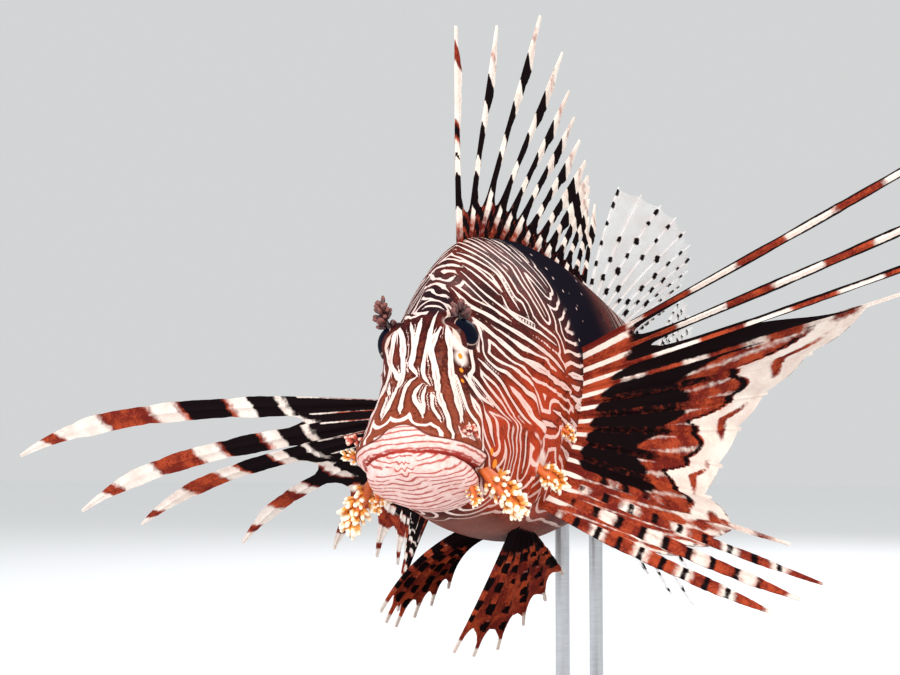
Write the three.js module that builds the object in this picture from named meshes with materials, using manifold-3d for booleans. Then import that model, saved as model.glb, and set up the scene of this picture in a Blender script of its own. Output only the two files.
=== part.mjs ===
// A red lionfish, life size, gliding with all its fins spread, held by two rods over a flat base.
//
// The fish is built in its own frame and posed at the end: the tip of the snout is the origin, the fish faces
// -Y, its left side is +X and its back is +Z. "a" is the distance behind the snout along the curved axis, "l"
// the distance to the fish's left of that axis and "h" the height above it. Millimetres throughout.
import * as THREE from 'three';
import Module from 'manifold-3d';

const wasm = await Module();
wasm.setup();
const { Manifold, Mesh } = wasm;

// Sizes of the whole fish.
const SL = 230; // snout to the root of the tail fin
const GAP = 0.3; // kept between pieces that touch
const RAD = Math.PI / 180;
const BEND = 12 * RAD; // how far the body turns to its left behind the head
const BEND_FROM = 0.25 * SL;
const STRAIGHTEN = 0.93; // 0.5 would leave the tail at the full bend, 1 straight again
const PITCH = 5.5 * RAD; // nose down
const ROLL = 5 * RAD; // back leaning to the fish's right
const MOUTH_HEIGHT = 94; // mouth above the floor

// Side profile and width, as shares of SL: a, top, bottom, half width, level of the widest line.
const PROFILE = [
  [0.0, 0.012, -0.012, 0.012, 0.0],
  [0.012, 0.03, -0.026, 0.034, 0.0],
  [0.03, 0.044, -0.039, 0.047, -0.002],
  [0.06, 0.066, -0.054, 0.054, -0.006],
  [0.09, 0.098, -0.064, 0.056, -0.008],
  [0.12, 0.122, -0.074, 0.061, -0.008],
  [0.16, 0.142, -0.087, 0.069, -0.006],
  [0.2, 0.16, -0.099, 0.079, 0.0],
  [0.25, 0.184, -0.112, 0.092, 0.008],
  [0.285, 0.198, -0.121, 0.095, 0.012],
  [0.35, 0.205, -0.134, 0.096, 0.016],
  [0.42, 0.203, -0.14, 0.093, 0.018],
  [0.5, 0.19, -0.14, 0.085, 0.016],
  [0.6, 0.16, -0.132, 0.07, 0.012],
  [0.7, 0.126, -0.11, 0.052, 0.008],
  [0.78, 0.098, -0.084, 0.038, 0.006],
  [0.86, 0.07, -0.056, 0.026, 0.006],
  [0.93, 0.056, -0.044, 0.018, 0.006],
  [1.0, 0.056, -0.044, 0.013, 0.006],
];

// Swellings and hollows of the head, both sides alike: centre (a, l, h), radius and lift, as shares of SL.
const SWELLINGS = [
  { at: [0.115, 0.036, 0.1], r: 0.032, lift: 0.016 }, // orbit
  { at: [0.07, 0.0, 0.085], r: 0.03, lift: -0.01 }, // hollow between the eyes
  { at: [0.05, 0.0, -0.055], r: 0.03, lift: 0.006 }, // chin
  { at: [0.11, 0.055, -0.02], r: 0.035, lift: 0.008 }, // cheek
  { at: [0.17, 0.03, 0.145], r: 0.03, lift: 0.008 }, // ridge at the back of the head
];

/** Monotone cubic through a table: column c at x. */
function curve(table, c, x) {
  const n = table.length - 1;
  const X = (i) => table[i][0];
  const Y = (i) => table[i][c];
  const t0 = Math.min(Math.max(x, X(0)), X(n));
  let k = 0;
  while (k < n - 1 && t0 > X(k + 1)) k += 1;
  const slope = (i) => (Y(i + 1) - Y(i)) / (X(i + 1) - X(i));
  const tangent = (i) => {
    if (i === 0) return slope(0);
    if (i === n) return slope(n - 1);
    const [p, q] = [slope(i - 1), slope(i)];
    if (p * q <= 0) return 0;
    const [u, v] = [X(i) - X(i - 1), X(i + 1) - X(i)];
    return (3 * (u + v)) / ((2 * v + u) / p + (v + 2 * u) / q);
  };
  const h = X(k + 1) - X(k);
  const t = (t0 - X(k)) / h;
  const [t2, t3] = [t * t, t * t * t];
  return (2 * t3 - 3 * t2 + 1) * Y(k) + (t3 - 2 * t2 + t) * h * tangent(k)
    + (3 * t2 - 2 * t3) * Y(k + 1) + (t3 - t2) * h * tangent(k + 1);
}

const [TOP, BOTTOM, HALF, LEVEL] = [1, 2, 3, 4];
const size = (a, column) => SL * curve(PROFILE, column, a / SL);

/** Heading of the body axis at a, turned from straight back towards the fish's left. */
function heading(a) {
  const t = Math.min(Math.max((a - BEND_FROM) / (SL - BEND_FROM), 0), 1);
  return BEND * Math.sin(Math.PI * STRAIGHTEN * t ** 0.8);
}

const AXIS = [{ x: 0, y: 0 }];
for (let a = 0; a < 1.6 * SL; a += 1) {
  const last = AXIS[AXIS.length - 1];
  AXIS.push({ x: last.x + Math.sin(heading(a)), y: last.y + Math.cos(heading(a)) });
}

/** Point on the body axis. */
function axis(a) {
  if (a <= 0) return { x: 0, y: a };
  const k = Math.min(Math.floor(a), AXIS.length - 2);
  const t = a - k;
  return { x: AXIS[k].x + t * (AXIS[k + 1].x - AXIS[k].x), y: AXIS[k].y + t * (AXIS[k + 1].y - AXIS[k].y) };
}

/** Place (a, l, h) in the fish's frame. */
function place(a, l, h) {
  const c = axis(a);
  const t = heading(a);
  return new THREE.Vector3(c.x + l * Math.cos(t), c.y - l * Math.sin(t), h);
}

/** Direction out to the left, back and up at station a. */
function along(a, out, back, up) {
  const [c, s] = [Math.cos(heading(a)), Math.sin(heading(a))];
  return new THREE.Vector3(out * c + back * s, back * c - out * s, up);
}

// Station and exponents of the upper and lower half of a section: below 1 fuller than an ellipse, above 1
// narrowing to the top.
const FULLNESS = [
  [0, 0.95, 0.95],
  [0.05, 1.15, 0.95],
  [0.1, 1.4, 0.92],
  [0.2, 1.55, 0.92],
  [0.28, 1.45, 0.95],
  [0.42, 1.1, 0.98],
  [0.7, 1.0, 1.0],
  [1.0, 1.0, 1.0],
];

const LIPS = { slope: 0.42, corner: 0.088, fade: 0.03, half: 0.013, spread: 0.009, lift: 0.007 };
/** How far the lips stand out on either side of the line of the mouth. */
function lips(a, h) {
  const x = a / SL;
  const off = Math.abs(h / SL + LIPS.slope * x) - LIPS.half;
  const fade = Math.min(1, Math.max(0, (LIPS.corner - x) / LIPS.fade));
  return LIPS.lift * SL * Math.exp(-((off / LIPS.spread) ** 2)) * fade;
}

/** Point of the body's surface at station a and angle th round it (0 at the back, clockwise from behind). */
function skin(a, th) {
  const [c, s] = [Math.cos(th), Math.sin(th)];
  const level = size(a, LEVEL);
  const tall = c >= 0 ? size(a, TOP) - level : level - size(a, BOTTOM);
  let l = size(a, HALF) * Math.sign(s) * Math.abs(s) ** curve(FULLNESS, c >= 0 ? 1 : 2, a / SL);
  let h = level + tall * c;
  let push = lips(a, h);
  for (const { at, r, lift } of SWELLINGS) {
    const d2 = (a / SL - at[0]) ** 2 + (Math.abs(l) / SL - at[1]) ** 2 + (h / SL - at[2]) ** 2;
    push += lift * SL * Math.exp(-d2 / (r * r));
  }
  const norm = Math.hypot(l, h - level) || 1;
  l += (push * l) / norm;
  h += (push * (h - level)) / norm;
  return { l, h };
}

/** Point of the surface, and its outward normal, in the fish's frame. */
function surface(a, th) {
  const at = (x, t) => {
    const { l, h } = skin(x, t);
    return place(x, l, h);
  };
  const [da, dt] = [0.5, 0.02];
  const u = at(Math.min(a + da, SL), th).sub(at(Math.max(a - da, 0), th));
  const v = at(a, th + dt).sub(at(a, th - dt));
  return { point: at(a, th), normal: v.cross(u).normalize() };
}

/** Where the surface lies at station a and height h, on the fish's left (side 1) or right (side -1). */
function flank(a, h, side) {
  let [low, high] = [0, Math.PI];
  for (let i = 0; i < 40; i += 1) {
    const mid = (low + high) / 2;
    if (skin(a, mid).h > h) low = mid;
    else high = mid;
  }
  return surface(a, side * low);
}

/** Where the surface lies at station a and distance l from the middle, on its upper or lower half. */
function halfWay(a, l, side, upper) {
  const [quarter, pole] = [Math.PI / 2, upper ? 0 : Math.PI];
  let [outer, inner] = [quarter, pole];
  for (let i = 0; i < 40; i += 1) {
    const mid = (outer + inner) / 2;
    if (skin(a, mid).l > l) outer = mid;
    else inner = mid;
  }
  return surface(a, side * outer);
}

const STATIONS = [
  0, 0.004, 0.012, 0.022, 0.034, 0.048, 0.062, 0.076, 0.09, 0.104, 0.118, 0.132, 0.146, 0.162, 0.18, 0.2,
  0.222, 0.245, 0.268, 0.29, 0.315, 0.345, 0.375, 0.405, 0.435, 0.465, 0.5, 0.535, 0.57, 0.605, 0.64, 0.675,
  0.71, 0.745, 0.78, 0.82, 0.86, 0.9, 0.95, 1.0,
];
const AROUND = 36;

/** A closed mesh under construction. */
class Shell {
  points = [];

  faces = [];

  add(p) {
    this.points.push(p.x, p.y, p.z);
    return this.points.length / 3 - 1;
  }

  tri(a, b, c) {
    this.faces.push(a, b, c);
  }

  quad(a, b, c, d) {
    this.tri(a, b, c);
    this.tri(a, c, d);
  }

  solid() {
    return new Manifold(new Mesh({
      numProp: 3, vertProperties: new Float32Array(this.points), triVerts: new Uint32Array(this.faces),
    }));
  }
}

/** The whole body without fins, with its surface moved out by grow. */
function wholeBody(grow) {
  const shell = new Shell();
  const tip = shell.add(place(-0.6 - grow, 0, 0));
  const rings = STATIONS.map((share) => {
    const ring = [];
    for (let j = 0; j < AROUND; j += 1) {
      const { point, normal } = surface(share * SL, (2 * Math.PI * j) / AROUND);
      if (share === 1) point.add(along(SL, 0, grow, 0));
      ring.push(shell.add(point.addScaledVector(normal, grow)));
    }
    return ring;
  });
  const end = shell.add(place(SL + 0.6 + grow, 0, size(SL, LEVEL)));
  for (let j = 0; j < AROUND; j += 1) {
    const k = (j + 1) % AROUND;
    shell.tri(tip, rings[0][k], rings[0][j]);
    rings.slice(1).forEach((next, i) => shell.quad(rings[i][j], rings[i][k], next[k], next[j]));
    shell.tri(end, rings[rings.length - 1][j], rings[rings.length - 1][k]);
  }
  return shell.solid();
}

/** Largest closed surface of a solid. */
function largest(solid) {
  return solid.decompose().reduce((a, b) => (b.volume() > a.volume() ? b : a));
}

/** Keeps the part of a solid in front of (side -1) or behind (side 1) a station, by a plane that leans. */
function part(solid, share, lean, side) {
  const c = axis(share * SL);
  const n = along(share * SL, 0, side, -side * lean).normalize();
  return solid.trimByPlane([n.x, n.y, n.z], n.x * c.x + n.y * c.y + GAP / 2);
}

const body = wholeBody(0);
const bodyGrown = wholeBody(GAP);

/**
 * A fin as one closed solid: tapering rays with a raised crest on both faces, joined by a membrane up to a
 * share of their length and free beyond it. Each ray: root, dir, length, bend and power (how it curves), web
 * (share of the length that the membrane reaches), and functions of the share s of its length for its half
 * widths fore and aft, its crest and the half thickness of its edges.
 */
function finSolid(rays, { steps, webSteps, scallop }) {
  const shell = new Shell();
  const share = (ray, k) => (k <= webSteps ? (ray.web * k) / webSteps
    : ray.web + ((1 - ray.web) * (k - webSteps)) / (steps - webSteps));
  const spot = (ray, s) => ray.root.clone().addScaledVector(ray.dir, s * ray.length)
    .addScaledVector(ray.bend, ray.length * s ** ray.power);
  const lines = rays.map((ray) => Array.from({ length: steps + 1 }, (_, k) => spot(ray, share(ray, k))));
  const rows = rays.map((ray, i) => lines[i].map((p, k) => {
    const s = share(ray, k);
    const tangent = lines[i][Math.min(k + 1, steps)].clone().sub(lines[i][Math.max(k - 1, 0)]).normalize();
    const next = lines[Math.min(i + 1, rays.length - 1)][k];
    const across = next.clone().sub(lines[Math.max(i - 1, 0)][k]);
    across.addScaledVector(tangent, -across.dot(tangent)).normalize();
    const normal = across.clone().cross(tangent).normalize();
    const at = (w, t) => p.clone().addScaledVector(across, w).addScaledVector(normal, t);
    const [fore, aft, crest, edge] = [ray.fore(s), ray.aft(s), ray.crest(s), ray.edge(s)];
    const v = [at(-fore, edge), at(0, crest), at(aft, edge), at(aft, -edge), at(0, -crest), at(-fore, -edge)];
    return { v, id: v.map((q) => shell.add(q)) };
  }));
  // a column of points midway between two rays, front and back, with its end drawn in by the scallop
  const between = (i) => Array.from({ length: webSteps + 1 }, (_, k) => [[2, 0], [3, 5]].map(([from, to]) => {
    const mid = (m) => rows[i][m].v[from].clone().lerp(rows[i + 1][m].v[to], 0.5);
    const p = mid(k);
    if (k === webSteps) p.lerp(mid(k - 1), scallop);
    return shell.add(p);
  }));
  const webs = scallop > 0 ? rays.slice(1).map((_, i) => between(i)) : [];
  const wall = (a, b) => {
    for (let k = 0; k + 1 < a.length; k += 1) shell.quad(a[k], b[k], b[k + 1], a[k + 1]);
  };
  rows.forEach((row, i) => {
    const line = (c, from = 0) => row.slice(from).map((r) => r.id[c]);
    wall(line(0), line(1));
    wall(line(1), line(2));
    wall(line(3), line(4));
    wall(line(4), line(5));
    const leftFrom = i === 0 ? 0 : webSteps;
    wall(line(5, leftFrom), line(0, leftFrom));
    const rightFrom = i === rows.length - 1 ? 0 : webSteps;
    wall(line(2, rightFrom), line(3, rightFrom));
    const t = row[steps].id;
    shell.quad(t[0], t[1], t[4], t[5]);
    shell.quad(t[1], t[2], t[3], t[4]);
    const r = row[0].id;
    shell.quad(r[5], r[4], r[1], r[0]);
    shell.quad(r[4], r[3], r[2], r[1]);
  });
  rows.slice(1).forEach((_, i) => {
    const [rf, rb] = [2, 3].map((c) => rows[i].slice(0, webSteps + 1).map((r) => r.id[c]));
    const [lf, lb] = [0, 5].map((c) => rows[i + 1].slice(0, webSteps + 1).map((r) => r.id[c]));
    const mids = webs[i] ? [[webs[i].map((m) => m[0]), webs[i].map((m) => m[1])]] : [];
    const columns = [[rf, rb], ...mids, [lf, lb]];
    for (let c = 0; c + 1 < columns.length; c += 1) {
      const [[f0, b0], [f1, b1]] = [columns[c], columns[c + 1]];
      wall(f0, f1);
      for (let k = 0; k < webSteps; k += 1) { // the back face has the same diagonals as the front
        shell.tri(b0[k], b1[k + 1], b1[k]);
        shell.tri(b0[k], b0[k + 1], b1[k + 1]);
      }
      shell.quad(f0[webSteps], f1[webSteps], b1[webSteps], b0[webSteps]);
      shell.quad(f0[0], b0[0], b1[0], f1[0]);
    }
  });
  return shell.solid();
}

const taper = (from, to, power = 1) => (s) => to + (from - to) * (1 - s) ** power;

/** A fin cut clear of the body by the gap. */
function onBody(solid) {
  return largest(solid.subtract(bodyGrown));
}

const SINK = 2.5; // how far a ray starts under the skin before it is cut clear

/** A ray from the surface point, starting a little under it. */
function ray(a, point, dir, length, bend, web, look, power = 2) {
  const d = dir.clone().normalize();
  const root = point.clone().addScaledVector(d, -SINK);
  return { root, dir: d, length: length + SINK, bend, power, web, ...look };
}

// Spiny dorsal fin: 13 spines, each with a narrow lappet of skin behind it.
const SPINES = { count: 13, from: 0.288, to: 0.665, lean: 60 * RAD, leanIn: 2.7, upright: 0.55 };
const SPINE_LENGTH = [0.232, 0.258, 0.318, 0.308, 0.277, 0.258, 0.24, 0.218, 0.192, 0.168, 0.14, 0.108, 0.13];
function spinyDorsal() {
  const rays = SPINE_LENGTH.map((length, i) => {
    const u = i / (SPINES.count - 1);
    const a = (SPINES.from + (SPINES.to - SPINES.from) * u ** 0.96) * SL;
    const raised = 1 - SPINES.upright * Math.max(0, (i - 7) / 5) ** 1.5;
    const lean = SPINES.lean * (1 - Math.exp(-i / SPINES.leanIn)) * raised;
    const side = 0.04 + 0.1 * Math.exp(-(((i - 2.5) / 2.5) ** 2));
    const behind = taper(0.9, 0.3);
    const lappet = (s) => 0.5 + 1.9 * Math.exp(-(((s - 0.8) / 0.16) ** 2)) * Math.min(1, 6 * (1 - s));
    return ray(a, place(a, 0, size(a, TOP)), along(a, side, Math.sin(lean), Math.cos(lean)), length * SL,
      along(a, 0, 0.05, 0), 0.2 + 0.12 * u, {
        fore: taper(1.0, 0.35),
        aft: (s) => behind(s) + lappet(s),
        crest: taper(0.95, 0.35),
        edge: taper(0.4, 0.25),
      });
  });
  return onBody(finSolid(rays, { steps: 7, webSteps: 2, scallop: 0.45 }));
}

// Soft dorsal fin, anal fin and tail fin.
const SOFT_LOOK = {
  fore: taper(0.55, 0.3), aft: taper(0.55, 0.3), crest: taper(0.75, 0.4), edge: taper(0.35, 0.25),
};
function softDorsal() {
  const rays = Array.from({ length: 11 }, (_, i) => {
    const u = i / 10;
    const a = (0.685 + 0.165 * u) * SL;
    const lean = (28 + 46 * u) * RAD;
    const out = 0.08 + 0.42 * Math.sin(Math.PI * u);
    const length = (0.175 - 0.06 * Math.abs(u - 0.3) ** 1.5 - 0.02 * u) * SL;
    return ray(a, place(a, 0, size(a, TOP)), along(a, out, Math.sin(lean), Math.cos(lean)), length,
      along(a, 0.08, 0.05, 0), 0.93, SOFT_LOOK);
  });
  return onBody(finSolid(rays, { steps: 4, webSteps: 3, scallop: 0 }));
}
function anal() {
  const rays = Array.from({ length: 10 }, (_, i) => {
    const u = i / 9;
    const a = (0.665 + 0.19 * u) * SL;
    const lean = (6 + 60 * u) * RAD;
    const length = (i < 3 ? 0.08 + 0.05 * i : 0.228 - 0.08 * (u - 0.33)) * SL;
    return ray(a, place(a, 0, size(a, BOTTOM)), along(a, 0.12, Math.sin(lean), -Math.cos(lean)), length,
      along(a, 0.08, 0.05, 0), 0.93, SOFT_LOOK);
  });
  return onBody(finSolid(rays, { steps: 4, webSteps: 3, scallop: 0 }));
}
function caudal() {
  const rays = Array.from({ length: 13 }, (_, i) => {
    const u = i / 6 - 1;
    const rise = 19 * RAD * u;
    const root = place(SL, 0, size(SL, LEVEL) + 0.043 * SL * u);
    const way = along(SL, 0, Math.cos(rise), Math.sin(rise));
    return ray(SL, root, way, (0.29 - 0.045 * u * u) * SL, along(SL, 0.05, 0, 0), 0.95, SOFT_LOOK);
  });
  return onBody(finSolid(rays, { steps: 4, webSteps: 3, scallop: 0 }));
}

// Pectoral fins: share down the fan, rise, sweep back, length, reach of the membrane, half width of a ray.
const [RISE, SWEEP, LENGTH, WEB, WIDE] = [1, 2, 3, 4, 5];
const ROOT_HALF = 0.5; // half width of a pectoral ray where it leaves the body
const PECTORAL = {
  left: {
    side: 1, high: 0.068, drop: 0.155, droop: 0.03, power: 2,
    fan: [[0, 22, 8, 0.64, 0.2, 1.15], [0.083, 16, 10, 0.62, 0.22, 1.2], [0.167, 12, 12, 0.56, 0.36, 1.2],
      [0.25, 9, 24, 0.38, 0.86, 1.2], [0.333, 3, 40, 0.29, 0.98, 1.0], [0.5, -9, 54, 0.238, 0.98, 1.0],
      [0.667, -24, 50, 0.2, 0.96, 1.1], [0.8, -29, 16, 0.3, 0.62, 1.7], [1, -32, 4, 0.26, 0.5, 1.7]],
  },
  right: {
    side: -1, high: 0.022, drop: 0.108, droop: -0.1, power: 4,
    fan: [[0, 4, 6, 0.7, 0.32, 2.9], [0.083, -3, 10, 0.62, 0.36, 2.7], [0.167, -6, 14, 0.53, 0.44, 2.5],
      [0.25, -12, 28, 0.455, 0.52, 2.3], [0.333, -18, 42, 0.36, 0.7, 1.9], [0.5, -26, 56, 0.27, 0.86, 1.4],
      [0.667, -30, 60, 0.24, 0.86, 1.4], [0.8, -33, 58, 0.22, 0.8, 1.5], [1, -36, 52, 0.18, 0.6, 1.6]],
  },
};
function pectoral({ side, high, drop, droop, power, fan }) {
  const rays = Array.from({ length: 13 }, (_, i) => {
    const u = i / 12;
    const of = (c) => curve(fan, c, u);
    const a = (0.405 - 0.135 * u) * SL;
    const { point } = flank(a, (high - drop * u ** 0.9) * SL, side);
    const [rise, sweep] = [of(RISE) * RAD, of(SWEEP) * RAD];
    const level = Math.cos(rise);
    const dir = along(a, side * level * Math.cos(sweep), level * Math.sin(sweep), Math.sin(rise));
    const wide = of(WIDE);
    const half = (s) => ROOT_HALF + (wide - ROOT_HALF) * Math.min(1, 3 * s) * Math.min(1, 5 * (1 - s));
    return ray(a, point, dir, of(LENGTH) * SL, along(a, 0, 0.04, droop), of(WEB), {
      fore: half, aft: half, crest: taper(1.1, 0.5), edge: taper(0.4, 0.25),
    }, power);
  });
  return onBody(finSolid(rays, { steps: 7, webSteps: 4, scallop: 0 }));
}

// Pelvic fins: a spine and five rays each.
const PELVIC = {
  left: { side: 1, scale: 1, at: 0.03, curl: -0.05, droop: 0, lean: [4, 60], out: [-0.6, 0.02] },
  right: { side: -1, scale: 0.86, at: 0.03, curl: -0.2, droop: -0.25, lean: [-26, 58], out: [2.7, 1.4] },
};
const PELVIC_LENGTH = [0.15, 0.16, 0.165, 0.152, 0.142, 0.128];
function pelvic({ side, scale, at, curl, droop, lean: [fore, aft], out: [first, last] }) {
  const rays = PELVIC_LENGTH.map((length, i) => {
    const u = i / 5;
    const a = (0.27 + 0.062 * u) * SL;
    const { point } = halfWay(a, at * SL, side, false);
    const lean = (fore + (aft - fore) * u) * RAD;
    const out = side * (first + (last - first) * u);
    return ray(a, point, along(a, out, Math.sin(lean), -Math.cos(lean)), length * scale * SL,
      along(a, side * curl, 0.03, droop), 0.9, {
        fore: taper(1.2, 0.5), aft: taper(1.2, 0.5), crest: taper(1.1, 0.5), edge: taper(0.4, 0.28),
      });
  });
  return onBody(finSolid(rays, { steps: 6, webSteps: 5, scallop: 0.15 }));
}

const EYE = { a: 0.118 * SL, h: 0.1 * SL, r: 5.4, proud: 2.2, sides: 20 };
const eyes = [1, -1].map((side) => {
  const { point, normal } = flank(EYE.a, EYE.h, side);
  const centre = point.addScaledVector(normal, EYE.proud - EYE.r);
  return { side, centre };
});

/** A soft flap: a flat tapering lobe with small side lobes, rooted at a spot of the skin at station a. */
function flap({ point, normal }, a, side, dir, length, wide, lobes) {
  const d = along(a, side * dir[0], dir[1], dir[2]).normalize();
  const flat = normal.clone().cross(d).normalize();
  const lobe = (from, to, w) => {
    const shell = new Shell();
    const way = to.clone().sub(from).normalize();
    const n = way.clone().cross(flat).normalize();
    const t = n.clone().cross(way).normalize();
    const rings = [[0, 0.75], [0.55, 1], [1, 0.4]].map(([s, k]) => {
      const c = from.clone().lerp(to, s);
      const thick = 0.45 * w * k + 0.3;
      return Array.from({ length: 6 }, (_, j) => {
        const q = (Math.PI * j) / 3;
        const p = c.clone().addScaledVector(t, w * k * Math.cos(q)).addScaledVector(n, thick * Math.sin(q));
        return shell.add(p);
      });
    });
    for (let j = 0; j < 6; j += 1) {
      const k = (j + 1) % 6;
      for (let i = 0; i < 2; i += 1) shell.quad(rings[i][j], rings[i][k], rings[i + 1][k], rings[i + 1][j]);
    }
    [[rings[0], true], [rings[2], false]].forEach(([r, flip]) => {
      for (let j = 1; j < 5; j += 1) shell.tri(r[0], flip ? r[j + 1] : r[j], flip ? r[j] : r[j + 1]);
    });
    const made = shell.solid();
    return made.volume() > 0 ? made : null;
  };
  const root = point.clone().addScaledVector(d, -SINK);
  const tip = point.clone().addScaledVector(d, length);
  const pieces = [lobe(root, tip, wide)];
  for (let i = 0; i < lobes; i += 1) {
    const s = 0.3 + (0.6 * i) / Math.max(lobes - 1, 1);
    const turn = i % 2 ? 1 : -1;
    const from = root.clone().lerp(tip, s);
    const way = d.clone().multiplyScalar(0.8).addScaledVector(flat, turn).addScaledVector(normal, 0.25);
    way.normalize();
    pieces.push(lobe(from, from.clone().addScaledVector(way, wide * 1.5), wide * 0.45));
  }
  return largest(Manifold.union(pieces.filter(Boolean)).subtract(bodyGrown).subtract(sockets));
}

const HEAD_END = { at: 0.235, lean: 0.25 };
const NOSTRIL = { a: 0.055 * SL, h: 0.05 * SL, r: 0.9, sides: 8 };
const JAW = { slope: 0.42, back: 0.085, lean: 0.6 };

/** Half space below the line of the mouth and in front of the jaw joint, moved by shift. */
function jawRegion(solid, shift) {
  const mouth = new THREE.Vector3(0, -JAW.slope, -1).normalize();
  const joint = new THREE.Vector3(0, -1, -JAW.lean).normalize();
  return solid.trimByPlane(mouth.toArray(), shift)
    .trimByPlane(joint.toArray(), joint.y * JAW.back * SL + shift);
}

const headWhole = part(body, HEAD_END.at, HEAD_END.lean, -1);
const ball = (centre, radius, sides) => Manifold.sphere(radius, sides).translate(centre.toArray());
const sockets = Manifold.union(eyes.map(({ centre }) => ball(centre, EYE.r + GAP, EYE.sides)));
const nostrils = Manifold.union([1, -1].map((side) => (
  ball(flank(NOSTRIL.a, NOSTRIL.h, side).point, NOSTRIL.r, NOSTRIL.sides)
)));
const jaw = largest(jawRegion(headWhole, GAP / 2));
const JUST_LARGER = 1.0001; // keeps the cut's faces off the head's own
const upper = headWhole.subtract(jawRegion(headWhole.scale(JUST_LARGER), -GAP / 2));
const skull = largest(upper.subtract(sockets).subtract(nostrils));

/** Gill cover: the plate behind the cheek, a few millimetres thick, set into the head. */
const GILL = { from: 0.172, to: 0.262, low: -0.085, high: 0.075, deep: 4.5, reach: 60, sides: 20 };
function gillPlate(side, grow) {
  const outline = [];
  const [middle, level] = [(GILL.from + GILL.to) / 2, (GILL.low + GILL.high) / 2];
  const [long, tall] = [(GILL.to - GILL.from) / 2, (GILL.high - GILL.low) / 2];
  for (let j = 0; j < GILL.sides; j += 1) {
    const t = (2 * Math.PI * j) / GILL.sides;
    outline.push([
      (middle + long * Math.cos(t)) * SL + grow * Math.cos(t),
      (level + tall * Math.sin(t)) * SL + grow * Math.sin(t),
    ]);
  }
  const shell = new Shell();
  const inner = (size(GILL.from * SL, HALF) - GILL.deep - grow) * side;
  const ring = (x) => outline.map(([y, z]) => shell.add(new THREE.Vector3(x, y, z)));
  const rings = [ring(inner), ring(GILL.reach * side)];
  for (let j = 0; j < GILL.sides; j += 1) {
    const k = (j + 1) % GILL.sides;
    if (side > 0) shell.quad(rings[0][j], rings[0][k], rings[1][k], rings[1][j]);
    else shell.quad(rings[0][k], rings[0][j], rings[1][j], rings[1][k]);
  }
  for (let j = 1; j < GILL.sides - 1; j += 1) {
    const [a, b] = side > 0 ? [j + 1, j] : [j, j + 1];
    shell.tri(rings[0][0], rings[0][a], rings[0][b]);
    shell.tri(rings[1][0], rings[1][b], rings[1][a]);
  }
  return shell.solid();
}
const gills = {
  left: largest(skull.intersect(gillPlate(1, 0))),
  right: largest(skull.intersect(gillPlate(-1, 0))),
};
const head = largest(skull.subtract(gillPlate(1, GAP)).subtract(gillPlate(-1, GAP)));

const TRUNK_CUTS = [0.46, 0.72];
const trunkFront = part(part(body, HEAD_END.at, HEAD_END.lean, 1), TRUNK_CUTS[0], 0, -1);
const trunkRear = part(part(body, TRUNK_CUTS[0], 0, 1), TRUNK_CUTS[1], 0, -1);
const peduncle = part(body, TRUNK_CUTS[1], 0, 1);

/** Geometry of a manifold solid. */
function geometry(solid) {
  const mesh = solid.getMesh();
  const g = new THREE.BufferGeometry();
  const n = mesh.numProp;
  const p = new Float32Array((mesh.vertProperties.length / n) * 3);
  for (let i = 0; i < p.length; i += 1) p[i] = mesh.vertProperties[n * Math.floor(i / 3) + (i % 3)];
  g.setAttribute('position', new THREE.BufferAttribute(p, 3));
  g.setIndex(new THREE.BufferAttribute(new Uint32Array(mesh.triVerts), 1));
  g.computeVertexNormals();
  return g;
}

/** A plain material. */
function material(color, roughness, metalness = 0) {
  return new THREE.MeshStandardMaterial({ color, roughness, metalness });
}

const model = new THREE.Group();
const fish = new THREE.Group();
const middle = axis(0.42 * SL);
fish.rotation.set(PITCH, -ROLL, 0, 'XYZ');
fish.position.set(-middle.x, -middle.y, MOUTH_HEIGHT);
fish.updateMatrix();
model.add(fish);

/** Adds a named mesh to a group. */
function node(group, name, solid, look) {
  const mesh = new THREE.Mesh(geometry(solid), look);
  mesh.name = name;
  group.add(mesh);
}

const SOFT_SKIN = 0.5;
node(fish, 'head', head, material(0x8c3a30, SOFT_SKIN));
node(fish, 'lower_jaw', jaw, material(0xd9a79a, SOFT_SKIN));
node(fish, 'gill_cover_left', gills.left, material(0x9a4436, SOFT_SKIN));
node(fish, 'gill_cover_right', gills.right, material(0x9a4436, SOFT_SKIN));
node(fish, 'trunk_front', trunkFront, material(0x5a2a28, SOFT_SKIN));
node(fish, 'trunk_rear', trunkRear, material(0x5f2c2a, SOFT_SKIN));
node(fish, 'tail_peduncle', peduncle, material(0x6d3730, SOFT_SKIN));
node(fish, 'dorsal_fin_spiny', spinyDorsal(), material(0x8f5a4c, SOFT_SKIN));
node(fish, 'dorsal_fin_soft', softDorsal(), material(0xb7b0a8, SOFT_SKIN));
node(fish, 'anal_fin', anal(), material(0xb7b0a8, SOFT_SKIN));
node(fish, 'caudal_fin', caudal(), material(0xb7b0a8, SOFT_SKIN));
node(fish, 'pectoral_fin_left', pectoral(PECTORAL.left), material(0x7c3527, SOFT_SKIN));
node(fish, 'pectoral_fin_right', pectoral(PECTORAL.right), material(0xa8695a, SOFT_SKIN));
node(fish, 'pelvic_fin_left', pelvic(PELVIC.left), material(0x8f2f20, SOFT_SKIN));
node(fish, 'pelvic_fin_right', pelvic(PELVIC.right), material(0x6b2b25, SOFT_SKIN));
eyes.forEach(({ side, centre }) => {
  node(fish, side > 0 ? 'eye_left' : 'eye_right', ball(centre, EYE.r, EYE.sides), material(0x0b1226, 0.15));
});

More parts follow.
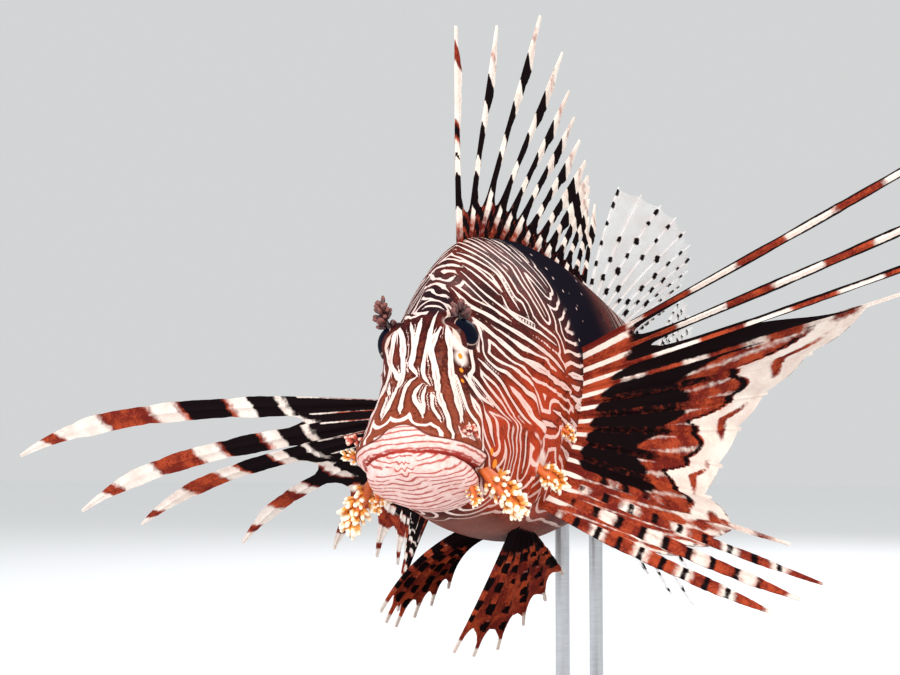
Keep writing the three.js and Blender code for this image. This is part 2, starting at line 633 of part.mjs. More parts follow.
// Flaps: station, height on the flank or distance from the middle above it, direction on each side and size.
const FLAPS = [
  {
    name: 'brow_tentacle', a: 0.114, l: 0.031, left: [0.1, 0.9, 0.6], right: [0.4, 0.1, 1],
    length: 8, wide: 1.3, lobes: 4, color: 0x3a1a1a,
  },
  {
    name: 'nose_flap', a: 0.036, h: 0.012, left: [1, 0.1, -0.3], right: [1, 0, 0],
    length: 4, wide: 1.1, lobes: 2, color: 0x9a4436,
  },
  {
    name: 'jaw_flap', a: 0.075, h: -0.03, left: [0.8, -0.2, -1], right: [0.6, -0.3, -1],
    length: 13, wide: 3.2, lobes: 5, color: 0xd98a3a,
  },
  {
    name: 'cheek_flap', a: 0.215, h: -0.045, left: [1, -0.1, -0.9], right: [1, -0.1, -0.9],
    length: 8, wide: 2.8, lobes: 4, color: 0xd98a3a,
  },
];
for (const [word, side] of [['left', 1], ['right', -1]]) {
  for (const made of FLAPS) {
    const a = made.a * SL;
    const root = made.l ? halfWay(a, made.l * SL, side, true) : flank(a, made.h * SL, side);
    const solid = flap(root, a, side, made[word], made.length, made.wide, made.lobes);
    node(fish, `${made.name}_${word}`, solid, material(made.color, SOFT_SKIN));
  }
}

const BASE = { wide: 110, long: 170, thick: 8, corner: 30, edge: 1.2 };
const RODS = [{ name: 'stand_rod_front', at: 0.515 }, { name: 'stand_rod_rear', at: 0.63 }];
const ROD_R = 2;

/** A flat base with rounded corners and a small bevel, its underside at z = 0. */
function baseGeometry() {
  const [w, l, r] = [BASE.wide / 2 - BASE.edge, BASE.long / 2 - BASE.edge, BASE.corner];
  const s = new THREE.Shape();
  s.moveTo(-w + r, -l);
  s.lineTo(w - r, -l).absarc(w - r, -l + r, r, -Math.PI / 2, 0);
  s.lineTo(w, l - r).absarc(w - r, l - r, r, 0, Math.PI / 2);
  s.lineTo(-w + r, l).absarc(-w + r, l - r, r, Math.PI / 2, Math.PI);
  s.lineTo(-w, -l + r).absarc(-w + r, -l + r, r, Math.PI, 1.5 * Math.PI);
  const g = new THREE.ExtrudeGeometry(s, {
    depth: BASE.thick - 2 * BASE.edge, bevelEnabled: true, bevelSize: BASE.edge, bevelThickness: BASE.edge,
    bevelSegments: 1, curveSegments: 6,
  });
  g.translate(0, 0, BASE.edge);
  return g;
}
const base = new THREE.Mesh(baseGeometry(), material(0x2b2320, 0.45));
base.name = 'stand_base';
model.add(base);

const clearance = bodyGrown.transform(fish.matrix.toArray());
RODS.forEach(({ name, at }) => {
  const belly = place(at * SL, 0, size(at * SL, BOTTOM)).applyMatrix4(fish.matrix);
  const tall = belly.z + 4 - BASE.thick - GAP;
  const rod = Manifold.cylinder(tall, ROD_R, ROD_R, 16).translate([belly.x, belly.y, BASE.thick + GAP]);
  node(model, name, largest(rod.subtract(clearance)), material(0xb9bcc0, 0.3, 1));
});

export default model;
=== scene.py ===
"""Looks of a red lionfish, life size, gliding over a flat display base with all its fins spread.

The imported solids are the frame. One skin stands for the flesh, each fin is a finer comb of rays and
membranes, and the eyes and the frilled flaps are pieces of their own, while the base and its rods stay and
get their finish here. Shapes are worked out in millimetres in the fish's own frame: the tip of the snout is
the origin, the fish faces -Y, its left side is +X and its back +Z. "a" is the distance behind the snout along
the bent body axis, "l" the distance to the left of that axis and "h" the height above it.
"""

import logging
import math
from dataclasses import dataclass, field
from enum import Enum
from typing import Callable

import bpy
import numpy as np
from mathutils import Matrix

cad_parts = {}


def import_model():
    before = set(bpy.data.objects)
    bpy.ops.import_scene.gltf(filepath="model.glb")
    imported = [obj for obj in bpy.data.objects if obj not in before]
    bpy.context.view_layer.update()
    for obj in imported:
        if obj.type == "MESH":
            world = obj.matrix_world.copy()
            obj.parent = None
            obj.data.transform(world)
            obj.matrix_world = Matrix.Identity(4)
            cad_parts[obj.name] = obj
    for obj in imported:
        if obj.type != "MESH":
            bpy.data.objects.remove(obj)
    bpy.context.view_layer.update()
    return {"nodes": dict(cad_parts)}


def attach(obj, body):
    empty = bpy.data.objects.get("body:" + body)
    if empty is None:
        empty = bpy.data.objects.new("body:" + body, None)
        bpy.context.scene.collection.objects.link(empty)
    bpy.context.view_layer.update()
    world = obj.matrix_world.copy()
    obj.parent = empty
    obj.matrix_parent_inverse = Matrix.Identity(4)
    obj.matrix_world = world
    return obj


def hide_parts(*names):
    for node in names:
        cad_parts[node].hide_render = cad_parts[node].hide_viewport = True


Array = np.ndarray
Socket, Material, Object = bpy.types.NodeSocket, bpy.types.Material, bpy.types.Object
Triple = tuple[float, float, float]
log = logging.getLogger("lionfish")
MM = 0.001
BODY_NAME = "root"
# the smallest length that a vector is divided by
TINY = 1e-12
# angle in degrees up to which a piece that is round all over shades smooth
ALL_SMOOTH = 180.0
# margin of a UV map, and the part of its cell in the map that a tube fills
UV_MARGIN, UV_FILL = 0.02, 0.9
# how fast the sines of the smooth noise follow each other
WAVE_PITCH = 2.3
# share of the vertical above which a tube's path counts as steep
STEEP = 0.9


class Side(Enum):
    """A side of the fish, as the sign of l there."""

    LEFT = 1
    RIGHT = -1

    @property
    def word(self) -> str:
        """The side's name in node names."""
        return self.name.lower()


LEFT, RIGHT = Side.LEFT, Side.RIGHT


def clamp(x: Array) -> Array:
    """Held between 0 and 1."""
    return np.clip(x, 0.0, 1.0)


def smooth(low: float, high: float, x: Array) -> Array:
    """Smooth step: 0 below low, 1 above high, 3t^2 - 2t^3 between."""
    t = clamp((x - low) / (high - low))
    return t * t * (3.0 - 2.0 * t)


def bump(x: Array, centre: float, spread: float) -> Array:
    """Bell of height 1: exp(-((x - centre) / spread)^2)."""
    return np.exp(-(((x - centre) / spread) ** 2))


def unit(v: Array) -> Array:
    """Vectors scaled to length 1."""
    return v / np.maximum(np.linalg.norm(v, axis=-1, keepdims=True), TINY)


def dot(a: Array, b: Array) -> Array:
    """Dot product along the last axis, which is kept."""
    return (a * b).sum(-1, keepdims=True)


def monotone(table: Array, column: int, x: Array) -> Array:
    """Monotone cubic through a table.

    Args:
        table: rows with x in the first column.
        column: the column that is read.
        x: where it is read, held within the table.

    Returns:
        The values, by cubic Hermite pieces whose tangents are harmonic means of the slopes on both sides.
    """
    xs, ys = table[:, 0], table[:, column]
    step = np.diff(xs)
    slope = np.diff(ys) / step
    before, after = slope[:-1], slope[1:]
    product = np.where(before * after > 0, before * after, 1.0)
    weight_p, weight_q = step[1:] * 2 + step[:-1], step[1:] + 2 * step[:-1]
    inner = 3 * (step[:-1] + step[1:]) * product / (weight_p * after + weight_q * before + 1e-30)
    inner = np.where(before * after > 0, inner, 0.0)
    tangent = np.concatenate([[slope[0]], inner, [slope[-1]]])
    x = np.clip(x, xs[0], xs[-1])
    k = np.clip(np.searchsorted(xs, x, side="left") - 1, 0, len(xs) - 2)
    t = (x - xs[k]) / step[k]
    t2, t3 = t * t, t * t * t
    return (
        (2 * t3 - 3 * t2 + 1) * ys[k]
        + (t3 - 2 * t2 + t) * step[k] * tangent[k]
        + (3 * t2 - 2 * t3) * ys[k + 1]
        + (t3 - t2) * step[k] * tangent[k + 1]
    )


@dataclass(frozen=True)
class Bell:
    """A swelling, or a hollow where lift is negative, alike on both sides.

    The centre (a, l, h), the reach and the lift are shares of the length.
    """

    at: Triple
    reach: float
    lift: float


@dataclass(frozen=True)
class Ridge:
    """A low bony ridge under the skin, or a furrow where lift is negative.

    The two ends, each a station and a height, and the spread are shares of the length, and so are the
    distances from the middle line between which the ridge fades in. The lift is in millimetres.
    """

    FADE = (0.008, 0.02)

    start: tuple[float, float]
    end: tuple[float, float]
    spread: float
    lift: float

    def height(self, a: Array, l: Array, h: Array) -> Array:
        """Lift at stations a, distances l and heights h, all as shares of the length."""
        start, end = np.array(self.start), np.array(self.end)
        span = end - start
        t = clamp(((a - start[0]) * span[0] + (h - start[1]) * span[1]) / (span @ span))
        gap = np.hypot(a - start[0] - t * span[0], h - start[1] - t * span[1])
        return self.lift * bump(gap, 0.0, self.spread) * smooth(*self.FADE, l)


@dataclass(frozen=True)
class Eyeball:
    """Place and size of an eye.

    The station and the height are shares of the length. The radius, and how far it stands proud of the skin,
    are in millimetres.
    """

    a: float = 0.118
    h: float = 0.1
    radius: float = 5.4
    proud: float = 2.2


class Body:
    """The fish's bent body: its axis, its sections and the places on its surface, all in millimetres."""

    LENGTH = 230.0
    # the axis in plan: its bend, where that starts, how far it turns back, its power and the axis's reach
    BEND = math.radians(12)
    BEND_FROM = 0.25
    STRAIGHTEN = 0.93
    BEND_POWER = 0.8
    AXIS_REACH = 1.6
    # steps of a search by halving
    HALVINGS = 40
    PITCH = math.radians(5.5)
    ROLL = math.radians(5)
    MOUTH_HEIGHT = 94.0
    MIDDLE = 0.42
    TOP, BOTTOM, HALF, LEVEL = 1, 2, 3, 4
    # a, top, bottom, half width and level of the widest line, as shares of the length
    PROFILE = np.array([
        [0.0, 0.012, -0.012, 0.012, 0.0],
        [0.012, 0.03, -0.026, 0.034, 0.0],
        [0.03, 0.044, -0.039, 0.047, -0.002],
        [0.06, 0.066, -0.054, 0.054, -0.006],
        [0.09, 0.098, -0.064, 0.056, -0.008],
        [0.12, 0.122, -0.074, 0.061, -0.008],
        [0.16, 0.142, -0.087, 0.069, -0.006],
        [0.2, 0.16, -0.099, 0.079, 0.0],
        [0.25, 0.184, -0.112, 0.092, 0.008],
        [0.285, 0.198, -0.121, 0.095, 0.012],
        [0.35, 0.205, -0.134, 0.096, 0.016],
        [0.42, 0.203, -0.14, 0.093, 0.018],
        [0.5, 0.19, -0.14, 0.085, 0.016],
        [0.6, 0.16, -0.132, 0.07, 0.012],
        [0.7, 0.126, -0.11, 0.052, 0.008],
        [0.78, 0.098, -0.084, 0.038, 0.006],
        [0.86, 0.07, -0.056, 0.026, 0.006],
        [0.93, 0.056, -0.044, 0.018, 0.006],
        [1.0, 0.056, -0.044, 0.013, 0.006],
    ])
    # a, exponent of the upper and of the lower half of a section
    FULLNESS = np.array([
        [0, 0.95, 0.95],
        [0.05, 1.15, 0.95],
        [0.1, 1.4, 0.92],
        [0.2, 1.55, 0.92],
        [0.28, 1.45, 0.95],
        [0.42, 1.1, 0.98],
        [0.7, 1.0, 1.0],
        [1.0, 1.0, 1.0],
    ])
    MOUTH_SLOPE = 0.42
    LIP_CORNER, LIP_HALF, LIP_SPREAD, LIP_LIFT, LIP_FADE = 0.088, 0.013, 0.009, 0.007, 0.03
    SWELLINGS = (
        Bell((0.115, 0.036, 0.1), 0.032, 0.016),
        Bell((0.07, 0.0, 0.085), 0.03, -0.01),
        Bell((0.05, 0.0, -0.055), 0.03, 0.006),
        Bell((0.11, 0.055, -0.02), 0.035, 0.008),
        Bell((0.17, 0.03, 0.145), 0.03, 0.008),
    )
    # ridges of the cheek and the brow, and the hollow behind the brow
    BONES = (
        Ridge((0.095, 0.012), (0.205, -0.004), 0.008, 1.3),
        Ridge((0.205, 0.045), (0.2, -0.065), 0.007, 1.0),
        Ridge((0.165, 0.055), (0.255, 0.062), 0.007, 0.9),
        Ridge((0.05, 0.0), (0.09, 0.03), 0.007, 0.8),
        Ridge((0.085, 0.082), (0.14, 0.09), 0.009, 1.2),
        Ridge((0.15, 0.115), (0.17, 0.125), 0.017, -2.0),
    )
    EYE = Eyeball()
    # the mouth's slit in millimetres: depth, spread and fading run
    SLIT_DEPTH, SLIT_SPREAD, SLIT_FADE = 1.1, 0.45, 3.0
    # the ring round an eye: its l as a share, the weight of that way, height, radius and spread
    RIM_AT, RIM_WEIGHT, RIM_HEIGHT, RIM_RADIUS, RIM_SPREAD = 0.052, 0.3, 0.75, 5.3, 0.8
    # the socket in it: depth, the radii between which it falls, and the share near the middle left alone
    SOCKET_DEPTH, SOCKET, SOCKET_CLEAR = 1.2, (5.0, 3.4), 0.012
    # the nostril: its place as shares, height, radius and spread of its rim, depth and spread of its hole
    NOSTRIL = (0.055, 0.05)
    NOSTRIL_RIM, NOSTRIL_RADIUS, NOSTRIL_SPREAD, PIT_DEPTH, PIT_SPREAD = 0.25, 1.5, 0.5, 0.9, 0.85
    # the gill cover: its box as shares, its height, and where on its ring it rises, ends and fades
    GILL = (0.172, 0.262, -0.085, 0.075)
    PLATE_HEIGHT, PLATE_RISE, PLATE_END, PLATE_FADE = 0.55, (0.55, 0.98), (1.06, 1.0), (-0.1, 0.3)

    def __init__(self) -> None:
        """Integrates the axis in steps of one millimetre."""
        steps = np.arange(0.0, self.AXIS_REACH * self.LENGTH)
        turn = self.heading(steps)
        self._grid = np.arange(len(steps) + 1, dtype=float)
        self._x = np.concatenate([[0.0], np.cumsum(np.sin(turn))])
        self._y = np.concatenate([[0.0], np.cumsum(np.cos(turn))])
        middle = self.axis(np.array(self.MIDDLE * self.LENGTH))
        self.origin = np.array([-middle[0], -middle[1], self.MOUTH_HEIGHT])

    def heading(self, a: Array) -> Array:
        """Heading of the axis at a, turned to the fish's left: bend * sin(pi * straighten * t^power)."""
        start = self.BEND_FROM * self.LENGTH
        t = clamp((a - start) / (self.LENGTH - start))
        return self.BEND * np.sin(math.pi * self.STRAIGHTEN * t**self.BEND_POWER)

    def axis(self, a: Array) -> tuple[Array, Array]:
        """Point of the axis at a, straight ahead of the snout where a is negative."""
        return np.interp(a, self._grid, self._x), np.where(a < 0, a, np.interp(a, self._grid, self._y))

    def place(self, a: Array, l: Array, h: Array) -> Array:
        """Point (a, l, h) in the fish's frame: the axis point plus l to its left."""
        a, l, h = np.broadcast_arrays(*(np.asarray(v, float) for v in (a, l, h)))
        x, y = self.axis(a)
        t = self.heading(a)
        return np.stack([x + l * np.cos(t), y - l * np.sin(t), h], -1)

    def along(self, a: Array, out: Array, back: Array, up: Array) -> Array:
        """Direction out to the left, back and up at station a."""
        a, out, back, up = np.broadcast_arrays(*(np.asarray(v, float) for v in (a, out, back, up)))
        t = self.heading(a)
        return np.stack([out * np.cos(t) + back * np.sin(t), back * np.cos(t) - out * np.sin(t), up], -1)

    def size(self, a: Array, column: int) -> Array:
        """A column of the profile at a, in millimetres."""
        return self.LENGTH * monotone(self.PROFILE, column, np.asarray(a, float) / self.LENGTH)

    def section(self, a: Array, angle: Array, relief: bool = False) -> tuple[Array, Array]:
        """Point of the surface at station a and an angle round it.

        Args:
            a: station.
            angle: 0 at the back, a quarter turn on the left side.
            relief: adds the fine forms of the skin.

        Returns:
            l and h. The section is l = half * sin^fullness, h = level + tall * cos, pushed out by the lips,
            the swellings and the relief.
        """
        a, angle = np.broadcast_arrays(np.asarray(a, float), np.asarray(angle, float))
        c, s = np.cos(angle), np.sin(angle)
        level = self.size(a, self.LEVEL)
        tall = np.where(c >= 0, self.size(a, self.TOP) - level, level - self.size(a, self.BOTTOM))
        share = a / self.LENGTH
        fullness = np.where(c >= 0, monotone(self.FULLNESS, 1, share), monotone(self.FULLNESS, 2, share))
        l = self.size(a, self.HALF) * np.sign(s) * np.abs(s) ** fullness
        h = level + tall * c
        push = self.lips(share, h / self.LENGTH)
        for bell in self.SWELLINGS:
            centre = np.array(bell.at)
            square = (share - centre[0]) ** 2 + (np.abs(l) / self.LENGTH - centre[1]) ** 2
            square = square + (h / self.LENGTH - centre[2]) ** 2
            push = push + bell.lift * self.LENGTH * np.exp(-square / bell.reach**2)
        if relief:
            push = push + self.relief(a, l, h)
        norm = np.maximum(np.hypot(l, h - level), 1e-9)
        return l + push * l / norm, h + push * (h - level) / norm

    def lips(self, share: Array, h: Array) -> Array:
        """How far the lips stand out: a bell on each side of the line of the mouth, fading at the corner."""
        off = np.abs(h + self.MOUTH_SLOPE * share) - self.LIP_HALF
        fade = clamp((self.LIP_CORNER - share) / self.LIP_FADE)
        return self.LIP_LIFT * self.LENGTH * bump(off, 0.0, self.LIP_SPREAD) * fade

    def relief(self, a: Array, l: Array, h: Array) -> Array:
        """Fine forms of the skin: mouth slit, nostrils, a ring round each eye, gill cover edge and bones."""
        n = self.LENGTH
        slit = -self.SLIT_DEPTH * bump(h + self.MOUTH_SLOPE * a, 0.0, self.SLIT_SPREAD)
        slit = slit * clamp((self.LIP_CORNER * n - a) / self.SLIT_FADE)
        eye = (a - self.EYE.a * n) ** 2 + (h - self.EYE.h * n) ** 2
        eye = np.sqrt(eye + self.RIM_WEIGHT * (np.abs(l) - self.RIM_AT * n) ** 2)
        rim = self.RIM_HEIGHT * bump(eye, self.RIM_RADIUS, self.RIM_SPREAD)
        rim = (rim - self.SOCKET_DEPTH * smooth(*self.SOCKET, eye)) * (np.abs(l) > self.SOCKET_CLEAR * n)
        nose = np.hypot(a - self.NOSTRIL[0] * n, h - self.NOSTRIL[1] * n)
        pit = self.NOSTRIL_RIM * bump(nose, self.NOSTRIL_RADIUS, self.NOSTRIL_SPREAD)
        pit = pit - self.PIT_DEPTH * bump(nose, 0.0, self.PIT_SPREAD)
        start, end, low, high = (v * n for v in self.GILL)
        along = (a - (start + end) / 2) / ((end - start) / 2)
        across = (h - (low + high) / 2) / ((high - low) / 2)
        ring = np.hypot(along, across)
        plate = self.PLATE_HEIGHT * smooth(*self.PLATE_RISE, ring) * smooth(*self.PLATE_END, ring)
        plate = plate * smooth(*self.PLATE_FADE, along)
        bones = sum(bone.height(a / n, np.abs(l) / n, h / n) for bone in self.BONES)
        return slit + rim + pit + plate + bones

    def surface(self, a: Array, angle: Array, relief: bool = False) -> tuple[Array, Array]:
        """Point of the surface and its outward normal, the cross product of small steps round and along."""
        a, angle = np.broadcast_arrays(np.asarray(a, float), np.asarray(angle, float))
        step, turn = 0.5, 0.02

        def at(x: Array, t: Array) -> Array:
            l, h = self.section(x, t, relief)
            return self.place(x, l, h)

        u = at(np.minimum(a + step, self.LENGTH), angle) - at(np.maximum(a - step, 0.0), angle)
        v = at(a, angle + turn) - at(a, angle - turn)
        return at(a, angle), unit(np.cross(v, u))

    def halved(self, held: Array, missed: Array, test: Callable[[Array], Array]) -> Array:
        """The last angle from held to missed at which the test holds."""
        for _ in range(self.HALVINGS):
            mid = (held + missed) / 2
            good = test(mid)
            held, missed = np.where(good, mid, held), np.where(good, missed, mid)
        return held

    def flank(self, a: Array, h: Array | float, side: Side) -> tuple[Array, Array]:
        """Surface point and normal at station a and height h."""
        top, bottom = np.zeros(np.shape(a)), np.full(np.shape(a), math.pi)
        return self.surface(a, side.value * self.halved(top, bottom, lambda t: self.section(a, t)[1] > h))

    def half_way(self, a: Array, l: float, side: Side, upper: bool) -> tuple[Array, Array]:
        """Surface point and normal at station a and distance l from the middle, above or below it."""
        outer, inner = np.full(np.shape(a), math.pi / 2), np.full(np.shape(a), 0.0 if upper else math.pi)
        return self.surface(a, side.value * self.halved(outer, inner, lambda t: self.section(a, t)[0] > l))

    def turned(self, p: Array) -> Array:
        """Vectors of the fish's frame turned by its roll and pitch."""
        x, y, z = np.moveaxis(np.asarray(p, float), -1, 0)
        cr, sr = math.cos(self.ROLL), math.sin(self.ROLL)
        x, z = x * cr - z * sr, x * sr + z * cr
        cp, sp = math.cos(self.PITCH), math.sin(self.PITCH)
        return np.stack([x, y * cp - z * sp, y * sp + z * cp], -1)

    def world(self, p: Array) -> Array:
        """Points of the fish's frame, in metres in the shared frame."""
        return (self.turned(p) + self.origin) * MM


def plain_wave(rng: np.random.Generator, count: int, x: Array) -> Array:
    """Smooth noise of one variable: a sum of count sines with random phase and falling height."""
    k = np.arange(1, count + 1)
    phase = rng.uniform(0, 2 * math.pi, count)
    return (np.sin(np.multiply.outer(x, k * WAVE_PITCH) + phase) / k).sum(-1)


@dataclass
class Patch:
    """A mesh under construction: points, faces of four and three corners, a UV and fields for each point."""

    points: Array
    quads: Array
    tris: Array
    uv: Array
    fields: dict[str, Array] = field(default_factory=dict)

    @staticmethod
    def joined(parts: list["Patch"]) -> "Patch":
        """Several patches as one, with the faces of each renumbered."""
        offsets = np.cumsum([0] + [len(p.points) for p in parts[:-1]])
        return Patch(
            np.concatenate([p.points for p in parts]),
            np.concatenate([p.quads + o for p, o in zip(parts, offsets)]),
            np.concatenate([p.tris + o for p, o in zip(parts, offsets)]),
            np.concatenate([p.uv for p in parts]),
            {key: np.concatenate([p.fields[key] for p in parts]) for key in parts[0].fields},
        )

    def object(self, name: str, material: Material, sharp: float = 60.0) -> Object:
        """The patch as an object at the origin.

        Args:
            name: the object's name.
            material: its finish.
            sharp: edges that turn by more than this angle in degrees stay sharp.

        Returns:
            The object, with an OFBake UV map and one attribute for each field.
        """
        mesh = bpy.data.meshes.new(name)
        corners = np.concatenate([self.quads.ravel(), self.tris.ravel()]).astype(np.int32)
        totals = np.concatenate([np.full(len(self.quads), 4), np.full(len(self.tris), 3)]).astype(np.int32)
        mesh.vertices.add(len(self.points))
        mesh.vertices.foreach_set("co", self.points.astype(np.float32).ravel())
        mesh.loops.add(len(corners))
        mesh.loops.foreach_set("vertex_index", corners)
        mesh.polygons.add(len(totals))
        starts = np.concatenate([[0], np.cumsum(totals)[:-1]]).astype(np.int32)
        mesh.polygons.foreach_set("loop_start", starts)
        mesh.polygons.foreach_set("loop_total", totals)
        mesh.update(calc_edges=True)
        mesh.validate()
        layer = mesh.uv_layers.new(name="OFBake")
        layer.uv.foreach_set("vector", self.uv[corners].astype(np.float32).ravel())
        for key, values in self.fields.items():
            attribute = mesh.attributes.new(key, "FLOAT", "POINT")
            attribute.data.foreach_set("value", values.astype(np.float32))
        mesh.shade_smooth()
        mesh.set_sharp_from_angle(angle=math.radians(sharp))
        mesh.materials.append(material)
        made = bpy.data.objects.new(name, mesh)
        bpy.context.scene.collection.objects.link(made)
        return made


def slab(front: Array, back: Array, cells: Array, fields: dict[str, Array]) -> Patch:
    """A closed sheet with a thickness.

    Args:
        front: points of the front face over a grid, (columns, rows, 3).
        back: points of the back face over the same grid.
        cells: which cells of the grid are filled, (columns - 1, rows - 1).
        fields: a value for each point of the grid, alike on both faces.

    Returns:
        The front cells, the back cells turned round, and a wall along every edge that only one filled cell
        has. The UV lays the two faces side by side.
    """
    columns, rows = front.shape[:2]
    index = np.arange(columns * rows).reshape(columns, rows)
    behind = index + columns * rows
    i, j = np.nonzero(cells)
    corner = (index[i, j], index[i + 1, j], index[i + 1, j + 1], index[i, j + 1])
    under = (behind[i, j], behind[i + 1, j], behind[i + 1, j + 1], behind[i, j + 1])
    faces = [np.stack(corner, -1), np.stack(under[::-1], -1)]
    framed = np.pad(cells, 1)
    for edge, (di, dj) in enumerate([(0, -1), (1, 0), (0, 1), (-1, 0)]):
        free = ~framed[i + 1 + di, j + 1 + dj]
        u, v = edge, (edge + 1) % 4
        faces.append(np.stack([corner[v], corner[u], under[u], under[v]], -1)[free])
    quads = np.concatenate(faces)
    used, flat = np.unique(quads, return_inverse=True)
    across = np.linspace(UV_MARGIN, 0.5 - UV_MARGIN, columns)[:, None] + np.zeros((1, rows))
    down = np.linspace(UV_MARGIN, 1 - UV_MARGIN, rows)[None, :] + np.zeros((columns, 1))
    uv = np.stack([across, down], -1).reshape(-1, 2)
    both = np.concatenate([uv, uv + [0.5, 0.0]])
    points = np.concatenate([front.reshape(-1, 3), back.reshape(-1, 3)])
    values = {key: np.tile(v.ravel(), 2)[used] for key, v in fields.items()}
    return Patch(points[used], flat.reshape(-1, 4), np.zeros((0, 3), int), both[used], values)


def tube(path: Array, radius: Array, sides: int, squash: float, fields: dict[str, Array]) -> Patch:
    """Closed tubes along many paths at once.

    Args:
        path: points of the paths, (tubes, steps, 3).
        radius: radius at each step, (tubes, steps).
        sides: number of sides.
        squash: thickness across the flat way, as a share of the width.
        fields: a value for each step of each tube.

    Returns:
        Rings carried square to each path and closed at both ends on its middle line.
    """
    count, steps = path.shape[:2]
    tangent = unit(np.gradient(path, axis=1))
    steep = np.abs(tangent[..., 2:]) >= STEEP
    helper = np.where(steep, [1.0, 0.0, 0.0], [0.0, 0.0, 1.0])
    side = unit(np.cross(tangent, helper))
    other = np.cross(side, tangent)
    turn = np.arange(sides) * 2 * math.pi / sides
    ring = side[:, :, None] * np.cos(turn)[:, None] + squash * other[:, :, None] * np.sin(turn)[:, None]
    points = path[:, :, None] + radius[:, :, None, None] * ring
    per = steps * sides
    index = (np.arange(count) * (per + 2))[:, None, None] + np.arange(per).reshape(1, steps, sides)
    after = np.roll(index, -1, axis=2)
    quads = np.stack([index[:, :-1], index[:, 1:], after[:, 1:], after[:, :-1]], -1).reshape(-1, 4)
    start = (np.arange(count) * (per + 2) + per)[:, None] + np.zeros((1, sides), int)
    caps = [
        np.stack([start, index[:, 0], after[:, 0]], -1).reshape(-1, 3),
        np.stack([start + 1, after[:, -1], index[:, -1]], -1).reshape(-1, 3),
    ]
    body = np.concatenate([points.reshape(count, per, 3), path[:, :1], path[:, -1:]], axis=1)
    values = {}
    for key, v in fields.items():
        spread = np.repeat(v[:, :, None], sides, axis=2).reshape(count, per)
        values[key] = np.concatenate([spread, v[:, :1], v[:, -1:]], axis=1).ravel()
    cell = 1.0 / math.ceil(math.sqrt(count))
    u = (np.arange(count) % round(1 / cell)) * cell
    w = (np.arange(count) // round(1 / cell)) * cell
    ring_u = np.tile(np.arange(sides) / sides, steps) * cell * UV_FILL
    ring_w = np.repeat(np.arange(steps) / steps, sides) * cell * UV_FILL
    ends = np.full(2, UV_FILL / 2) * cell
    uv = np.stack([u[:, None] + np.append(ring_u, ends), w[:, None] + np.append(ring_w, ends)], -1)
    return Patch(body.reshape(-1, 3), quads, np.concatenate(caps), uv.reshape(-1, 2), values)


@dataclass
class Rays:
    """The rays of a fin, one row for each, with its widths as functions of the share s of its length.

    web is the share of a ray that the membrane reaches. fore and aft are a ray's half widths, crest is its
    half thickness in the middle and edge that at its sides, in millimetres. SINK is how far it starts under
    the skin.
    """

    SINK = 2.5

    root: Array
    direction: Array
    length: Array
    bend: Array
    web: Array
    power: float
    fore: Callable[[Array], Array]
    aft: Callable[[Array], Array]
    crest: Callable[[Array], Array]
    edge: Callable[[Array], Array]

    @classmethod
    def rooted(cls, root: Array, direction: Array, length: Array, bend: Array, web: Array, **look) -> "Rays":
        """Rays that start a little under the skin, so that no gap shows at their roots."""
        direction = unit(direction)
        return cls(root - cls.SINK * direction, direction, length + cls.SINK, bend, web, **look)

    def at(self, s: Array) -> Array:
        """Points at shares s, (rays, steps): root + dir * s * L + bend * L * s^power."""
        run = (s * self.length[:, None])[..., None]
        sag = (self.length[:, None] * s**self.power)[..., None]
        return self.root[:, None] + self.direction[:, None] * run + self.bend[:, None] * sag


def taper(start: float, end: float, power: float = 1.0) -> Callable[[Array], Array]:
    """A width that falls from start at the root to end at the tip: end + (start - end) * (1 - s)^power."""
    return lambda s: end + (start - end) * (1.0 - s) ** power


@dataclass
class Weave:
    """Where each point of a fin's grid lies, for the fin's markings.

    s is the share of the ray, ray its number with a fraction between two rays, offset the place across a
    ray from -1 to 1, web 0 on a ray and 1 half way between two, and reach the share of the way to the
    membrane's margin.
    """

    s: Array
    ray: Array
    offset: Array
    web: Array
    reach: Array
    point: Array


